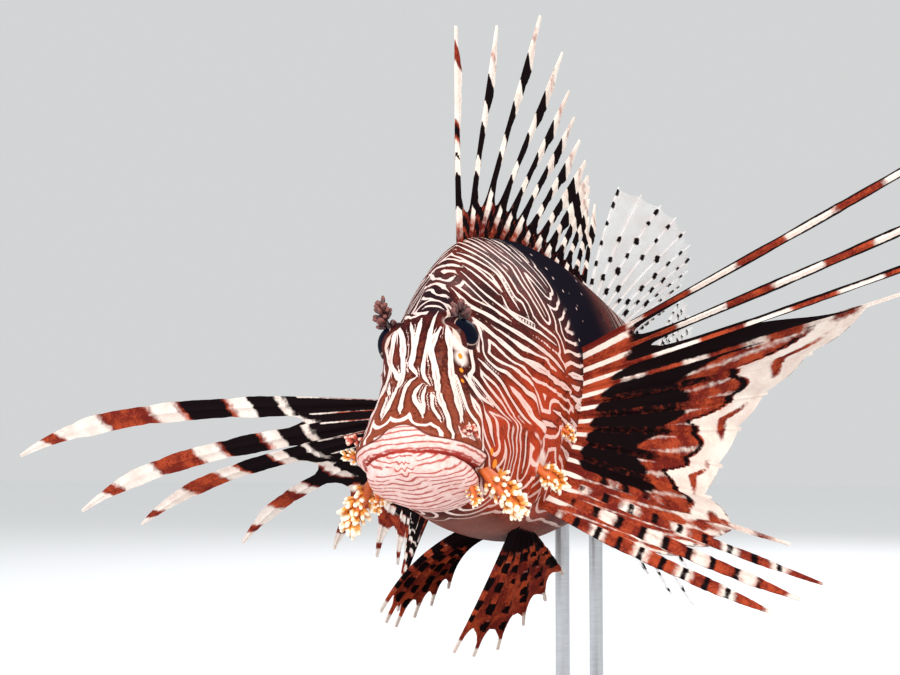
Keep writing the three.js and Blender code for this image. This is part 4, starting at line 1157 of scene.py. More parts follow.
@dataclass(frozen=True)
class Markings:
    """The pale lines and patches of the skin, and the soft fields that tint what lies between them."""

    SPACING = 0.6
    SNOUT = (
        Stripe(0.68, (0.106, 30, 0.09, 37, 0.07, 45, 0.042, 64)),
        Stripe(0.57, (0.116, 41, 0.109, 54, 0.096, 55, 0.1, 66, 0.116, 74)),
        Stripe(0.68, (0.102, 25, 0.088, 19, 0.075, 25, 0.044, 35, 0.026, 58, 0.016, 76), False),
        Stripe(0.41, (0.12, 20, 0.096, 16, 0.073, 11, 0.056, 21), False),
        Stripe(0.47, (0.108, -2, 0.082, -9, 0.077, -12, 0.068, 2), False),
        Stripe(0.39, (0.107, -17, 0.089, -11, 0.078, -15), False),
        Stripe(0.61, (0.112, -29, 0.09, -23, 0.056, -21, 0.027, -26, 0.02, -32), False),
        Stripe(0.61, (0.12, -41, 0.106, -41, 0.09, -38, 0.067, -24), False),
        Stripe(0.47, (0.065, 0, 0.058, -9, 0.025, -7, 0.018, -6), False),
        Stripe(0.47, (0.054, 12, 0.043, 8, 0.031, 10, 0.016, 27), False),
        Stripe(0.34, (0.051, 18, 0.036, 18, 0.017, 27), False),
        Stripe(0.41, (0.043, 26, 0.028, 33, 0.021, 49), False),
        Stripe(0.41, (0.07, -36, 0.05, -31, 0.023, -34), False),
        Stripe(0.54, (0.062, -45, 0.038, -56, 0.02, -76), False),
    )
    CREST = (
        Stripe(0.54, (0.243, -22, 0.224, -3, 0.232, 16), False),
        Stripe(0.47, (0.245, -25, 0.2, -12, 0.189, 11, 0.208, 16), False),
        Stripe(0.41, (0.169, -15, 0.155, 10, 0.163, 21), False),
        Stripe(0.41, (0.127, -4, 0.132, 11, 0.138, 21), False),
    )
    CHEEK = (
        Stripe(0.54, (0.192, 76, 0.205, 81, 0.212, 89, 0.244, 96)),
        Stripe(0.51, (0.124, 55, 0.151, 66, 0.163, 76, 0.184, 88, 0.206, 101, 0.201, 107)),
        Stripe(0.41, (0.167, 84, 0.177, 95, 0.177, 115)),
        Stripe(0.57, (0.1, 55, 0.116, 70, 0.134, 81, 0.143, 98, 0.138, 108, 0.14, 118)),
        Stripe(0.49, (0.091, 53, 0.096, 67, 0.09, 78, 0.092, 89)),
        Stripe(0.54, (0.081, 46, 0.065, 60, 0.063, 76, 0.05, 95, 0.067, 111)),
        Stripe(0.41, (0.073, 41, 0.053, 52, 0.045, 65)),
        Stripe(0.61, (0.026, 92, 0.046, 102, 0.068, 115, 0.082, 129, 0.108, 140)),
        Stripe(0.74, (0.328, 81, 0.389, 84, 0.44, 82)),
        Stripe(0.68, (0.321, 88, 0.362, 91, 0.48, 91)),
        Stripe(0.68, (0.334, 93, 0.44, 99)),
        Stripe(0.54, (0.246, 89, 0.294, 98, 0.354, 104, 0.416, 109)),
        Stripe(0.57, (0.313, 97, 0.373, 108, 0.461, 120, 0.513, 126)),
        Stripe(0.74, (0.319, 104, 0.4, 117, 0.508, 128)),
        Stripe(0.81, (0.274, 108, 0.343, 119, 0.458, 132, 0.554, 146)),
        Stripe(0.68, (0.285, 126, 0.318, 124, 0.422, 133, 0.476, 140)),
    )
    NAPE = (
        Stripe(0.34, (0.328, 1, 0.32, 25, 0.326, 36, 0.316, 46, 0.315, 59)),
        Stripe(0.31, (0.349, 2, 0.342, 25, 0.344, 36, 0.357, 50)),
        Stripe(0.28, (0.363, 4, 0.375, 14, 0.366, 32, 0.371, 48)),
        Stripe(0.25, (0.385, 5, 0.38, 26, 0.374, 34)),
        Stripe(0.41, (0.272, 2, 0.27, 15, 0.275, 35, 0.265, 47, 0.271, 51, 0.266, 56)),
        Stripe(0.4, (0.257, 10, 0.263, 25, 0.268, 36, 0.259, 44, 0.255, 51)),
        Stripe(0.4, (0.237, 19, 0.237, 31, 0.239, 41)),
        Stripe(0.41, (0.224, 20, 0.22, 34, 0.229, 46, 0.245, 56, 0.28, 65, 0.308, 70)),
        Stripe(0.31, (0.242, 43, 0.238, 50, 0.27, 60)),
        Stripe(0.65, (0.18, 22, 0.182, 34, 0.2, 45, 0.224, 57, 0.256, 68, 0.307, 79)),
        Stripe(0.43, (0.166, 25, 0.163, 36)),
        Stripe(0.84, (0.173, 38, 0.182, 50, 0.212, 67, 0.245, 76, 0.273, 81, 0.32, 86)),
        Stripe(0.46, (0.163, 38, 0.171, 43, 0.16, 48, 0.14, 54, 0.158, 63, 0.19, 74, 0.2, 80)),
    )
    # a station, an angle in degrees and a radius in millimetres
    PALE_PATCHES = (
        (0.113, 33, 2.0), (0.105, 41, 2.6), (0.098, 45, 1.7), (0.213, 113, 3.2), (0.232, 120, 2.2),
        (0.27, 101, 2.0),
    )
    AMBER_PATCHES = (
        (0.112, 34, 0.9), (0.106, 38, 1.1), (0.098, 44, 0.7), (0.091, 48, 0.6), (0.084, 51, 0.5),
        (0.213, 116, 1.4), (0.27, 101, 1.0), (0.085, 95, 0.8), (0.092, 106, 1.0), (0.107, 114, 1.1),
        (0.12, 124, 1.6), (0.15, 128, 1.8), (0.245, 118, 1.2), (0.108, -38, 0.9),
    )
    # wander of a mirrored line in station and angle, and the share of its width that it varies by
    MIRROR_WANDER, WIDTH_WANDER = (0.002, 1.0), 0.14
    # points to a knot of a course, how fast a line's ends taper, and their least width
    FINE, END_TAPER, END_WIDTH = 24, 7, 0.35
    # points of the skin that are measured against the lines at a time
    BLOCK = 3000

    body: Body

    def course(self, stripe: Stripe, side: Side, rng: np.random.Generator) -> tuple[Array, Array, Array]:
        """Points along a stripe, the way across it and its half width at each.

        Args:
            stripe: the stripe.
            side: LEFT as it stands, RIGHT mirrored.
            rng: draws the small wander of the line.

        Returns:
            Points spaced evenly on a Catmull-Rom curve through the course, tapering at both ends.
        """
        knots = np.array(stripe.course).reshape(-1, 2)
        if side is Side.RIGHT:
            knots = knots + rng.normal(0, 1, knots.shape) * self.MIRROR_WANDER
        padded = np.concatenate([2 * knots[:1] - knots[1:2], knots, 2 * knots[-1:] - knots[-2:-1]])
        t = np.linspace(0, len(knots) - 1, self.FINE * len(knots))
        k = np.minimum(t.astype(int), len(knots) - 2)
        f = (t - k)[:, None]
        p0, p1, p2, p3 = (padded[k + j] for j in range(4))
        curve = p1 + 0.5 * f * (p2 - p0 + f * (2 * p0 - 5 * p1 + 4 * p2 - p3 + f * (3 * (p1 - p2) + p3 - p0)))
        a, angle = curve[:, 0] * self.body.LENGTH, np.radians(curve[:, 1]) * side.value
        point, normal = self.body.surface(np.clip(a, 0.3, self.body.LENGTH), angle)
        run = np.concatenate([[0.0], np.cumsum(np.linalg.norm(np.diff(point, axis=0), axis=1))])
        even = np.linspace(0, run[-1], max(int(run[-1] / self.SPACING), 3))
        point, normal = (
            np.stack([np.interp(even, run, v[:, c]) for c in range(3)], -1) for v in (point, normal)
        )
        share = even / run[-1]
        ends = np.minimum(1.0, self.END_TAPER * np.minimum(share, 1 - share) + self.END_WIDTH)
        wander = 1 + self.WIDTH_WANDER * plain_wave(rng, 4, even * 0.3)
        across = unit(np.cross(np.gradient(point, axis=0), normal))
        return point, across, stripe.half * ends * wander

    def lines(self, points: Array) -> tuple[Array, Array, Array]:
        """Where each point lies beside the nearest pale line.

        Args:
            points: points of the skin in the fish's frame.

        Returns:
            The signed offset across the line, the distance from its middle and its half width, in
            millimetres. The offset runs straight through 0 at the middle, so that the line stays whole
            between coarse points.
        """
        rng = np.random.default_rng(4)
        drawn = [*self.SNOUT, *self.CREST, *self.CHEEK, *self.NAPE]
        courses = [self.course(s, Side.LEFT, rng) for s in drawn]
        courses += [self.course(s, Side.RIGHT, rng) for s in drawn if s.mirrored]
        centre, across, half = (np.concatenate(v).astype(np.float32) for v in zip(*courses))
        square = (centre**2).sum(1)
        offset, near, wide = (np.zeros(len(points)) for _ in range(3))
        for block in np.array_split(np.arange(len(points)), max(len(points) // self.BLOCK, 1)):
            p = points[block].astype(np.float32)
            gap = np.sqrt(np.maximum((p**2).sum(1)[:, None] + square - 2 * p @ centre.T, 0))
            best = np.argmin(gap - half, axis=1)
            near[block], wide[block] = gap[np.arange(len(block)), best], half[best]
            offset[block] = ((p - centre[best]) * across[best]).sum(1)
        return offset, near, wide

    def patches(self, points: Array, places: tuple[Triple, ...]) -> Array:
        """Round patches with a soft edge at their places."""
        a, angle, radius = np.array(places).T
        centres, _ = self.body.surface(a * self.body.LENGTH, np.radians(angle))
        return spots(points, centres, radius, 1.0)

    def fields(self, points: Array, a: Array, turn: Array) -> dict[str, Array]:
        """The fields that the skin's finish reads.

        Args:
            points: points of the skin in the fish's frame.
            a: their stations, in millimetres.
            turn: their angles from the back, from -180 to 180 degrees.

        Returns:
            offset, near, half and below in millimetres, bar and thread as counts of bars and of fine lines,
            and shares from 0 to 1 for all the rest.
        """
        n = self.body.LENGTH
        share, side = a / n, np.abs(turn)
        high = (self.body.section(a, np.radians(turn))[1]) / n
        offset, near, half = self.lines(points)
        below = -(high + Body.MOUTH_SLOPE * share)
        rim = 0.011 + 0.016 * bump(side, 0.0, 50.0)
        upper = smooth(rim + 0.0015, rim - 0.0015, -below) * smooth(0.003, -0.001, below)
        upper = upper * smooth(0.066, 0.058, share)
        jaw = 0.02 + 0.075 * smooth(92, 150, side)
        lower = smooth(-0.002, 0.003, below) * smooth(jaw + 0.004, jaw - 0.002, share)
        cheek = smooth(0.4, 0.28, share) * smooth(0.05, 0.1, share)
        cheek = cheek * smooth(58, 80, side) * smooth(165, 140, side)
        brow = smooth(0.14, 0.035, share) * smooth(120, 80, side)
        hump = smooth(0.335, 0.4, share + 0.03 * smooth(40, 5, side))
        hump = hump * smooth(92, 74, side) * smooth(0.62, 0.5, share)
        crown = 0.8 * smooth(0.19, 0.15, share) * smooth(0.1, 0.125, share) * smooth(30, 20, side)
        belly = smooth(148, 165, side) * smooth(0.11, 0.15, share)
        trunk = smooth(0.6, 0.68, share) + smooth(0.42, 0.48, share) * smooth(86, 104, side)
        lean = -0.03 + 0.03 * side / 95 + 0.02 * np.clip(side - 95, 0, None) / 70
        row = np.arctan2(high - 0.004 + 0.02, 0.6 * points[:, 0] / n)
        arch = np.hypot(0.5 * points[:, 0] / n, high + 0.03)
        chin = below * n / 1.4 + a / 2.2 + 0.3 * np.sin(row * 5) + 3 * arch
        return {
            "offset": offset, "near": near, "half": half, "warm": clamp(cheek), "brow": clamp(brow),
            "dusk": clamp(np.maximum(hump, crown)), "lip": clamp(np.maximum(upper, lower)),
            "belly": belly, "trunk": clamp(trunk),
            "bar": (share - lean) / 0.047,
            "white": self.patches(points, self.PALE_PATCHES),
            "amber": self.patches(points, self.AMBER_PATCHES),
            "thread": np.where(below > 0, chin, below * n / 1.2),
            "below": below * n,
        }


@dataclass(frozen=True)
class Skin:
    """One closed skin over the head, the jaw, the gill covers, the trunk and the tail root."""

    STATIONS, AROUND = 330, 288
    NODES = (
        "head", "lower_jaw", "gill_cover_left", "gill_cover_right",
        "trunk_front", "trunk_rear", "tail_peduncle",
    )
    # how far its tips stand out past the first and the last ring, in millimetres
    TIP = 0.6

    body: Body
    markings: Markings

    def stations(self) -> Array:
        """Stations from the snout to the tail fin, closest on the snout: the inverse of a growing spacing."""
        x = np.linspace(0, 1, 4001)
        spacing = 0.1 + 0.2 * smooth(0.0, 0.04, x) + 1.1 * smooth(0.26, 0.44, x)
        count = np.concatenate([[0.0], np.cumsum((1 / spacing[1:] + 1 / spacing[:-1]) / 2)])
        return self.body.LENGTH * np.interp(np.linspace(0, count[-1], self.STATIONS), count, x)

    def patch(self) -> Patch:
        """Rings of the section at each station, closed by a fan at the snout and at the tail."""
        around, rows = self.AROUND, self.STATIONS
        a = self.stations()[:, None] + np.zeros((1, around))
        degrees = np.arange(around) * 360.0 / around + np.zeros((rows, 1))
        l, h = self.body.section(a, np.radians(degrees), relief=True)
        n = self.body.LENGTH
        tips = np.array([-self.TIP, n + self.TIP])
        ends = self.body.place(tips, 0.0, np.array([0.0, self.body.size(n, Body.LEVEL)]))
        points = np.concatenate([self.body.place(a, l, h).reshape(-1, 3), ends])
        index = np.arange(a.size).reshape(a.shape)
        after = np.roll(index, -1, axis=1)
        quads = np.stack([index[:-1], after[:-1], after[1:], index[1:]], -1).reshape(-1, 4)
        snout = np.stack([np.full(around, a.size), after[0], index[0]], -1)
        tail = np.stack([np.full(around, a.size + 1), index[-1], after[-1]], -1)
        turn = np.append(np.where(degrees > 180, degrees - 360, degrees).ravel(), [90.0, 90.0])
        fields = self.markings.fields(points, np.append(a.ravel(), [0.0, n]), turn)
        row = np.linspace(UV_MARGIN, 1 - UV_MARGIN, rows)[:, None] + np.zeros((1, around))
        column = np.linspace(UV_MARGIN, 1 - UV_MARGIN, around) + np.zeros((rows, 1))
        uv = np.concatenate([np.stack([column, row], -1).reshape(-1, 2), [[0.5, 0.005], [0.5, 0.995]]])
        return Patch(points, quads, np.concatenate([snout, tail]), uv, fields)

    def build(self, material: Material) -> Object:
        """Meshes the skin, dresses it and lets it stand for the nodes of flesh."""
        patch = self.patch()
        patch.points = self.body.world(patch.points)
        return mounted(patch.object("Skin", material, sharp=ALL_SMOOTH), "skin_striped", *self.NODES)


@dataclass(frozen=True)
class Eyes:
    """The two eyes: a ball with a raised cornea, marked by the angle from the way it looks."""

    RINGS, SIDES = 40, 64
    # radius of the ball as a share, height and spread of the cornea on it, and how far the gaze turns forward
    BALL, CORNEA, CORNEA_SPREAD, AHEAD = 0.97, 0.035, 0.55, 0.12
    # spokes of the iris, and the angle in radians that the UV map is wide
    SPOKES, UV_SPAN = 5, 7

    body: Body

    def build(self, side: Side, material: Material) -> Object:
        """One eye: a ball with a bell for its cornea, and gaze as the angle in radians off its way."""
        eye, n = Body.EYE, self.body.LENGTH
        point, normal = self.body.flank(np.array(eye.a * n), eye.h * n, side)
        centre = point + normal * (eye.proud - eye.radius)
        forward = unit(normal + self.body.along(eye.a * n, 0.0, -self.AHEAD, 0.0))
        helper = unit(np.cross(forward, [0.0, 0.0, 1.0]))
        third = np.cross(helper, forward)
        polar = np.linspace(0, math.pi, self.RINGS + 2)[1:-1]
        turn = np.arange(self.SIDES) * 2 * math.pi / self.SIDES
        radius = eye.radius * (self.BALL + self.CORNEA * bump(polar, 0.0, self.CORNEA_SPREAD))
        ring = helper * np.cos(turn)[:, None] + third * np.sin(turn)[:, None]
        deep, wide = ((radius * turned)[:, None, None] for turned in (np.cos(polar), np.sin(polar)))
        body = forward * deep + ring[None] * wide
        tips = np.stack([forward * eye.radius * (self.BALL + self.CORNEA), -forward * eye.radius * self.BALL])
        points = centre + np.concatenate([body.reshape(-1, 3), tips])
        index = np.arange(polar.size * self.SIDES).reshape(polar.size, self.SIDES)
        after = np.roll(index, -1, axis=1)
        quads = np.stack([index[:-1], index[1:], after[1:], after[:-1]], -1).reshape(-1, 4)
        front = np.stack([np.full(self.SIDES, index.size), index[0], after[0]], -1)
        back = np.stack([np.full(self.SIDES, index.size + 1), after[-1], index[-1]], -1)
        gaze = np.append(np.repeat(polar, self.SIDES), [0.0, math.pi])
        clock = np.append(np.tile(turn, polar.size), [0.0, 0.0])
        uv = np.stack([0.5 + gaze / self.UV_SPAN * way for way in (np.cos(clock), np.sin(clock))], -1)
        ahead = self.body.along(eye.a * n, 0.0, -1.0, 0.0)
        facing = np.append(np.outer(np.sin(polar), ring @ ahead), [0.0, 0.0])
        fields = {"gaze": gaze, "spoke": np.sin(clock * self.SPOKES), "front": facing}
        patch = Patch(self.body.world(points), quads, np.concatenate([front, back]), uv, fields)
        made = patch.object(f"Eye{side.word.capitalize()}", material, sharp=ALL_SMOOTH)
        return mounted(made, "eye", f"eye_{side.word}")


@dataclass(frozen=True)
class Tassel:
    """A frilled flap of skin: a flat lobe covered in small rounded fingers.

    The place is a station and a height on the flank, or a distance from the middle where it is rooted
    above, as shares of the length. The way is out, back and up. Length, width and finger, the reach of one,
    are in millimetres, and fingers is their number. The look names the finish, and an added flap has no
    node.
    """

    # how deep the stem is rooted in millimetres, its length and its bow as shares, and its points
    SINK, STEM, BOW, STEPS = 1.5, 0.82, 0.12, 12
    # the lobe: its sides, and its radius and thickness as shares of its girth
    CORE_SIDES, CORE, FLAT = 14, 0.62, 0.55
    # the fingers: where they start on the stem, the turn from one to the next in radians, their sides
    FROM, GOLDEN, FINGER_SIDES = 0.16, 2.39996, 7
    # a finger: range of its reach, how far it curls up, its thickness and how that goes along it
    REACH, CURL, THICK, PROFILE = (0.5, 0.95), 0.35, 0.2, (0.9, 0.9, 0.95, 1.05, 1.05, 0.65)

    kind: str
    side: Side
    at: tuple[float, float]
    way: Triple
    length: float
    width: float
    fingers: int
    finger: float
    look: str
    seed: int
    above: bool = False
    added: bool = False

    def build(self, body: Body, material: Material) -> Object:
        """Meshes the tassel: fingers at golden turns along a bent lobe, each thinner and paler to its tip."""
        n = body.LENGTH
        rng = np.random.default_rng(self.seed)
        a = np.array(self.at[0] * n)
        if self.above:
            point, normal = body.half_way(a, self.at[1] * n, self.side, True)
        else:
            point, normal = body.flank(a, self.at[1] * n, self.side)
        way = unit(body.along(a, self.side.value * self.way[0], self.way[1], self.way[2]))
        flat = unit(np.cross(normal, way))
        out = np.cross(way, flat)
        s = np.linspace(0, 1, self.STEPS)
        stem = point - self.SINK * way + (way * (self.length + self.SINK) * s[:, None]) * self.STEM
        stem = stem + normal * (self.BOW * self.length * np.sin(math.pi * s))[:, None]
        swell = np.sin(math.pi * clamp(s * 0.9 + 0.12))
        girth = self.width * (0.45 + 0.55 * swell) * (1 - 0.25 * s**3)
        core = tube(stem[None], girth[None] * self.CORE, self.CORE_SIDES, self.FLAT, {"tip": 0.35 * s[None]})
        root = rng.uniform(self.FROM, 1.0, self.fingers) ** 0.8
        turn = np.arange(self.fingers) * self.GOLDEN + rng.normal(0, 0.2, self.fingers)
        start = np.stack([np.interp(root, s, stem[:, c]) for c in range(3)], -1)
        breadth = np.interp(root, s, girth)[:, None] * 0.45
        spread = unit(flat * np.cos(turn)[:, None] + out * 0.7 * np.sin(turn)[:, None])
        start = start + spread * breadth
        lift = (0.3 + 1.1 * root**3)[:, None]
        aim = unit(spread + way * lift + rng.normal(0, 0.22, (self.fingers, 3)))
        reach = self.finger * rng.uniform(*self.REACH, self.fingers)[:, None, None]
        t = np.linspace(0, 1, len(self.PROFILE))[None, :, None]
        curl = unit(way + rng.normal(0, 0.5, (self.fingers, 3)))[:, None]
        path = start[:, None] + aim[:, None] * reach * t + curl * reach * self.CURL * t**2
        thick = self.finger * self.THICK * np.array(self.PROFILE)[None]
        thick = thick * rng.uniform(0.8, 1.25, (self.fingers, 1))
        tips = np.broadcast_to(0.3 + 0.7 * t[..., 0], thick.shape)
        frill = tube(path, thick, self.FINGER_SIDES, 1.0, {"tip": tips})
        patch = Patch.joined([core, frill])
        patch.points = body.world(patch.points)
        title = "".join(word.capitalize() for word in [*self.kind.split("_"), self.side.word])
        made = patch.object(title, material, sharp=ALL_SMOOTH)
        slot = "flap_orange" if self.look == "orange" else "flap_dark"
        return mounted(made, slot, *([] if self.added else [f"{self.kind}_{self.side.word}"]))


def operator(operation: str, swapped: bool = False) -> Callable[["Value", "Value | float"], "Value"]:
    """An operator of Value as a Math node, with the other term first where swapped."""

    def method(value: "Value", other: "Value | float") -> "Value":
        """The operation on the two terms."""
        return value.math_node(operation, *((other, value) if swapped else (value, other)))

    return method


class Value:
    """A number in a shader: it wraps a socket, and its operators add Math nodes."""

    def __init__(self, shader: "Shader", socket: Socket) -> None:
        """Keeps the shader and the socket."""
        self.shader = shader
        self.socket = socket

    def math_node(self, operation: str, *terms: "Value | float") -> "Value":
        """A Math node over the terms."""
        node = self.shader.add("ShaderNodeMath", {"operation": operation}, dict(enumerate(terms)))
        return Value(self.shader, node.outputs[0])

    __add__ = __radd__ = operator("ADD")
    __mul__ = __rmul__ = operator("MULTIPLY")
    __sub__, __rsub__ = operator("SUBTRACT"), operator("SUBTRACT", swapped=True)
    __truediv__ = operator("DIVIDE")
    __mod__ = operator("FLOORED_MODULO")
    above = operator("MAXIMUM")

    def __abs__(self) -> "Value":
        """Size without its sign."""
        return self.math_node("ABSOLUTE", self)

    def step(self, low: float, high: float) -> "Value":
        """Smooth step from 0 at low to 1 at high, either way round."""
        settings = {"interpolation_type": "SMOOTHSTEP", "clamp": True}
        inputs = {"Value": self, "From Min": low, "From Max": high}
        return Value(self.shader, self.shader.add("ShaderNodeMapRange", settings, inputs).outputs[0])


Colour = tuple[int, int, int]


def linear(colour: Colour) -> tuple[float, float, float, float]:
    """A screen colour, 0 to 255, as the shader's linear values."""
    share = np.array(colour) / 255.0
    low, high = share / 12.92, ((share + 0.055) / 1.055) ** 2.4
    return (*np.where(share <= 0.04045, low, high).tolist(), 1.0)


class Shader:
    """One material's node tree around a Principled shader."""

    PER_METRE, NOISE_ROUGHNESS, BUMP_DEPTH = 1000.0, 0.55, 0.2

    def __init__(self, name: str, **constants: float | tuple) -> None:
        """Makes the material and sets the sockets that are alike all over, by name."""
        self.material = bpy.data.materials.new(name)
        self.material.use_nodes = True
        self.tree = self.material.node_tree
        self.tree.nodes.clear()
        named = {key.replace("_", " "): value for key, value in constants.items()}
        self.surface = self.add("ShaderNodeBsdfPrincipled", {}, named)
        self.add("ShaderNodeOutputMaterial", {}, {"Surface": self.surface.outputs[0]})

    def add(self, kind: str, settings: dict, inputs: dict) -> bpy.types.Node:
        """Adds a node.

        Args:
            kind: the node's type.
            settings: its properties, set first.
            inputs: values, colours or links of its sockets, by name or number.

        Returns:
            The node.
        """
        node = self.tree.nodes.new(kind)
        for key, value in settings.items():
            setattr(node, key, value)
        for key, value in inputs.items():
            if isinstance(value, Value):
                self.tree.links.new(value.socket, node.inputs[key])
            elif isinstance(value, Socket):
                self.tree.links.new(value, node.inputs[key])
            else:
                node.inputs[key].default_value = value
        return node

    def read(self, name: str) -> Value:
        """An attribute of the mesh."""
        node = self.add("ShaderNodeAttribute", {"attribute_type": "GEOMETRY", "attribute_name": name}, {})
        return Value(self, node.outputs["Fac"])

    def place(self, scale: Triple = (1.0, 1.0, 1.0)) -> Socket:
        """Object coordinates in metres, stretched by scale."""
        here = self.add("ShaderNodeTexCoord", {}, {}).outputs["Object"]
        inputs = {"Vector": here, "Scale": scale}
        return self.add("ShaderNodeMapping", {"vector_type": "POINT"}, inputs).outputs[0]

    def noise(self, size: float, detail: float = 2.0, where: Socket | None = None) -> Value:
        """Noise from 0 to 1 with features about size millimetres across."""
        inputs = {"Vector": where or self.place(), "Scale": self.PER_METRE / size}
        inputs |= {"Detail": detail, "Roughness": self.NOISE_ROUGHNESS}
        return Value(self, self.add("ShaderNodeTexNoise", {}, inputs).outputs[0])

    def cells(self, size: float) -> Value:
        """Distance from the middle of the nearest of the cells about size millimetres across."""
        inputs = {"Vector": self.place(), "Scale": self.PER_METRE / size}
        return Value(self, self.add("ShaderNodeTexVoronoi", {"feature": "F1"}, inputs).outputs[0])

    def mix(
        self, factor: Value | float, a: Colour | Socket, b: Colour | Socket
    ) -> Socket:
        """Colour a where the factor is 0 and b where it is 1."""
        ends = [linear(c) if isinstance(c, tuple) else c for c in (a, b)]
        node = self.add("ShaderNodeMix", {"data_type": "RGBA"}, {0: factor, 6: ends[0], 7: ends[1]})
        return node.outputs[2]

    def finish(self, **links: Socket | Value) -> Material:
        """Feeds sockets of the Principled shader; height with its depth in millimetres feeds a Bump node."""
        height, depth = links.pop("height", None), links.pop("depth", self.BUMP_DEPTH)
        for key, value in links.items():
            socket = value.socket if isinstance(value, Value) else value
            self.tree.links.new(socket, self.surface.inputs[key.replace("_", " ")])
        if height is not None:
            inputs = {"Strength": 1.0, "Distance": depth * MM, "Height": height}
            node = self.add("ShaderNodeBump", {}, inputs)
            self.tree.links.new(node.outputs[0], self.surface.inputs["Normal"])
        return self.material


@dataclass(frozen=True)
class SkinFinish:
    """The striped skin: maroon between pale lines, red on the cheek, blue-black behind, pink at the mouth."""

    # lines that repeat the drawn ones: distance of the first, pitch, half width, where they begin and fade
    ECHO_AT, ECHO_PITCH, ECHO_HALF, ECHO_FROM, ECHO_REACH = 2.35, 2.9, 0.42, (1.0, 1.2), (14.0, 10.0)
    # softness of a drawn line's edge, and the distance from it where it is cut off
    LINE_SOFT, LINE_NEAR = 0.07, (0.75, 0.45)
    # place of the trunk's bars within their period
    BAR = 0.17

    pale: Colour = (236, 212, 204)
    blush: Colour = (222, 158, 144)
    maroon: Colour = (98, 36, 28)
    deep: Colour = (44, 15, 16)
    ember: Colour = (190, 66, 34)
    rust: Colour = (146, 70, 48)
    dusk: Colour = (26, 23, 32)
    fleck: Colour = (176, 140, 116)
    amber: Colour = (236, 140, 44)
    lip: Colour = (236, 206, 200)
    thread: Colour = (168, 60, 52)
    belly: Colour = (150, 96, 84)

    def material(self) -> Material:
        """Builds the node tree."""
        s = Shader("SkinFinish", Coat_Roughness=0.3, Specular_IOR_Level=0.0)
        fine, broad, grain = s.noise(1.4), s.noise(8.0), s.noise(0.7, 3.0)
        warm, brow, dusk, lip, belly, white, amber, trunk = (
            s.read(key) for key in ("warm", "brow", "dusk", "lip", "belly", "white", "amber", "trunk")
        )
        half, off = s.read("half"), abs(s.read("offset"))
        rest, plain = s.read("near") - half, dusk.step(0.8, 1.0)
        inside = half - off + (fine - 0.5) * 0.2
        line = inside.step(-self.LINE_SOFT, self.LINE_SOFT) * rest.step(*self.LINE_NEAR)
        away = (rest - self.ECHO_AT + (broad - 0.5) * 0.8) / self.ECHO_PITCH + 0.5
        width = self.ECHO_HALF + (fine - 0.5) * 0.5 + (broad - 0.5) * 0.5
        echo = (width - abs(away % 1.0 - 0.5) * self.ECHO_PITCH).step(-0.08, 0.08)
        echo = echo * rest.step(*self.ECHO_FROM) * rest.step(*self.ECHO_REACH) * (1 - plain) * (1 - lip)
        line = line.above(echo) * (1 - trunk)
        phase = abs((s.read("bar") + (s.noise(12.0) - 0.5) * 0.35) % 1.0 - 0.5)
        bars = abs(phase - self.BAR + (fine - 0.5) * 0.04).step(0.055, 0.035) * trunk
        line = line.above(bars)
        edge = rest.step(0.9, 0.1).above(abs(phase - self.BAR).step(0.12, 0.06) * trunk)
        band = s.mix((broad * 0.6 + grain * 0.4).step(0.35, 0.65), self.deep, self.maroon)
        band = s.mix((brow * (fine * 0.7 + grain * 0.7 - 0.05)).step(0.2, 0.7) * 0.85, band, self.rust)
        glow = (broad * 0.5 + grain * 0.5).step(0.3, 0.55)
        band = s.mix(warm * (glow * 0.6 + 0.12), band, self.ember)
        fleck = s.cells(1.3).step(0.28, 0.12) * s.noise(3.0).step(0.45, 0.6)
        band = s.mix(fleck * (1 - dusk) * (1 - warm) * (1 - brow) * 0.7, band, self.fleck)
        band = s.mix(edge * (1 - amber) * 0.65, band, self.deep)
        band = s.mix(dusk, band, self.dusk)
        speck = s.cells(3.4).step(0.17, 0.1) * s.noise(9.0).step(0.48, 0.56) * dusk
        band = s.mix(speck * 0.85, band, self.lip)
        pale = s.mix((fine * 0.6 + warm * 0.45).step(0.3, 0.75) * 0.55, self.pale, self.blush)
        core = off.step(0.16, 0.04) * half.step(0.6, 0.7) * s.noise(5.0).step(0.45, 0.55)
        pale = s.mix(core * 0.6, pale, self.maroon)
        colour = s.mix(line * (1 - plain * 0.75), band, pale)
        colour = s.mix(white, colour, self.pale)
        colour = s.mix((amber + (fine - 0.5) * 0.3).step(0.4, 0.6), colour, self.amber)
        colour = s.mix(belly * 0.6, colour, self.belly)
        below = s.read("below")
        mouth = s.mix(fine.step(0.35, 0.75) * 0.6, self.lip, self.blush)
        wave = abs((s.read("thread") + (s.noise(5.0) - 0.5) * 1.1 + (fine - 0.5) * 0.25) % 1.0 - 0.5)
        mouth = s.mix(wave.step(0.2, 0.1) * s.noise(2.6).step(0.32, 0.45) * 0.85, mouth, self.thread)
        slit = abs(below + (s.noise(2.4) - 0.5) * 1.6)
        mouth = s.mix(slit.step(0.55, 0.3), mouth, self.thread)
        colour = s.mix((lip + (fine - 0.5) * 0.25).step(0.4, 0.6), colour, mouth)
        rim = abs(lip - 0.5).step(0.42, 0.2) * below.step(0.5, -0.5)
        colour = s.mix(rim * 0.9, colour, self.maroon)
        height = line * 0.25 + grain * 0.5 + s.cells(1.1) * 0.35 + wave * lip * 0.9
        links = {"Base_Color": colour, "Roughness": 0.36 + grain * 0.25, "Coat_Weight": (1 - dusk) * 0.12}
        return s.finish(**links, height=height, depth=0.16)


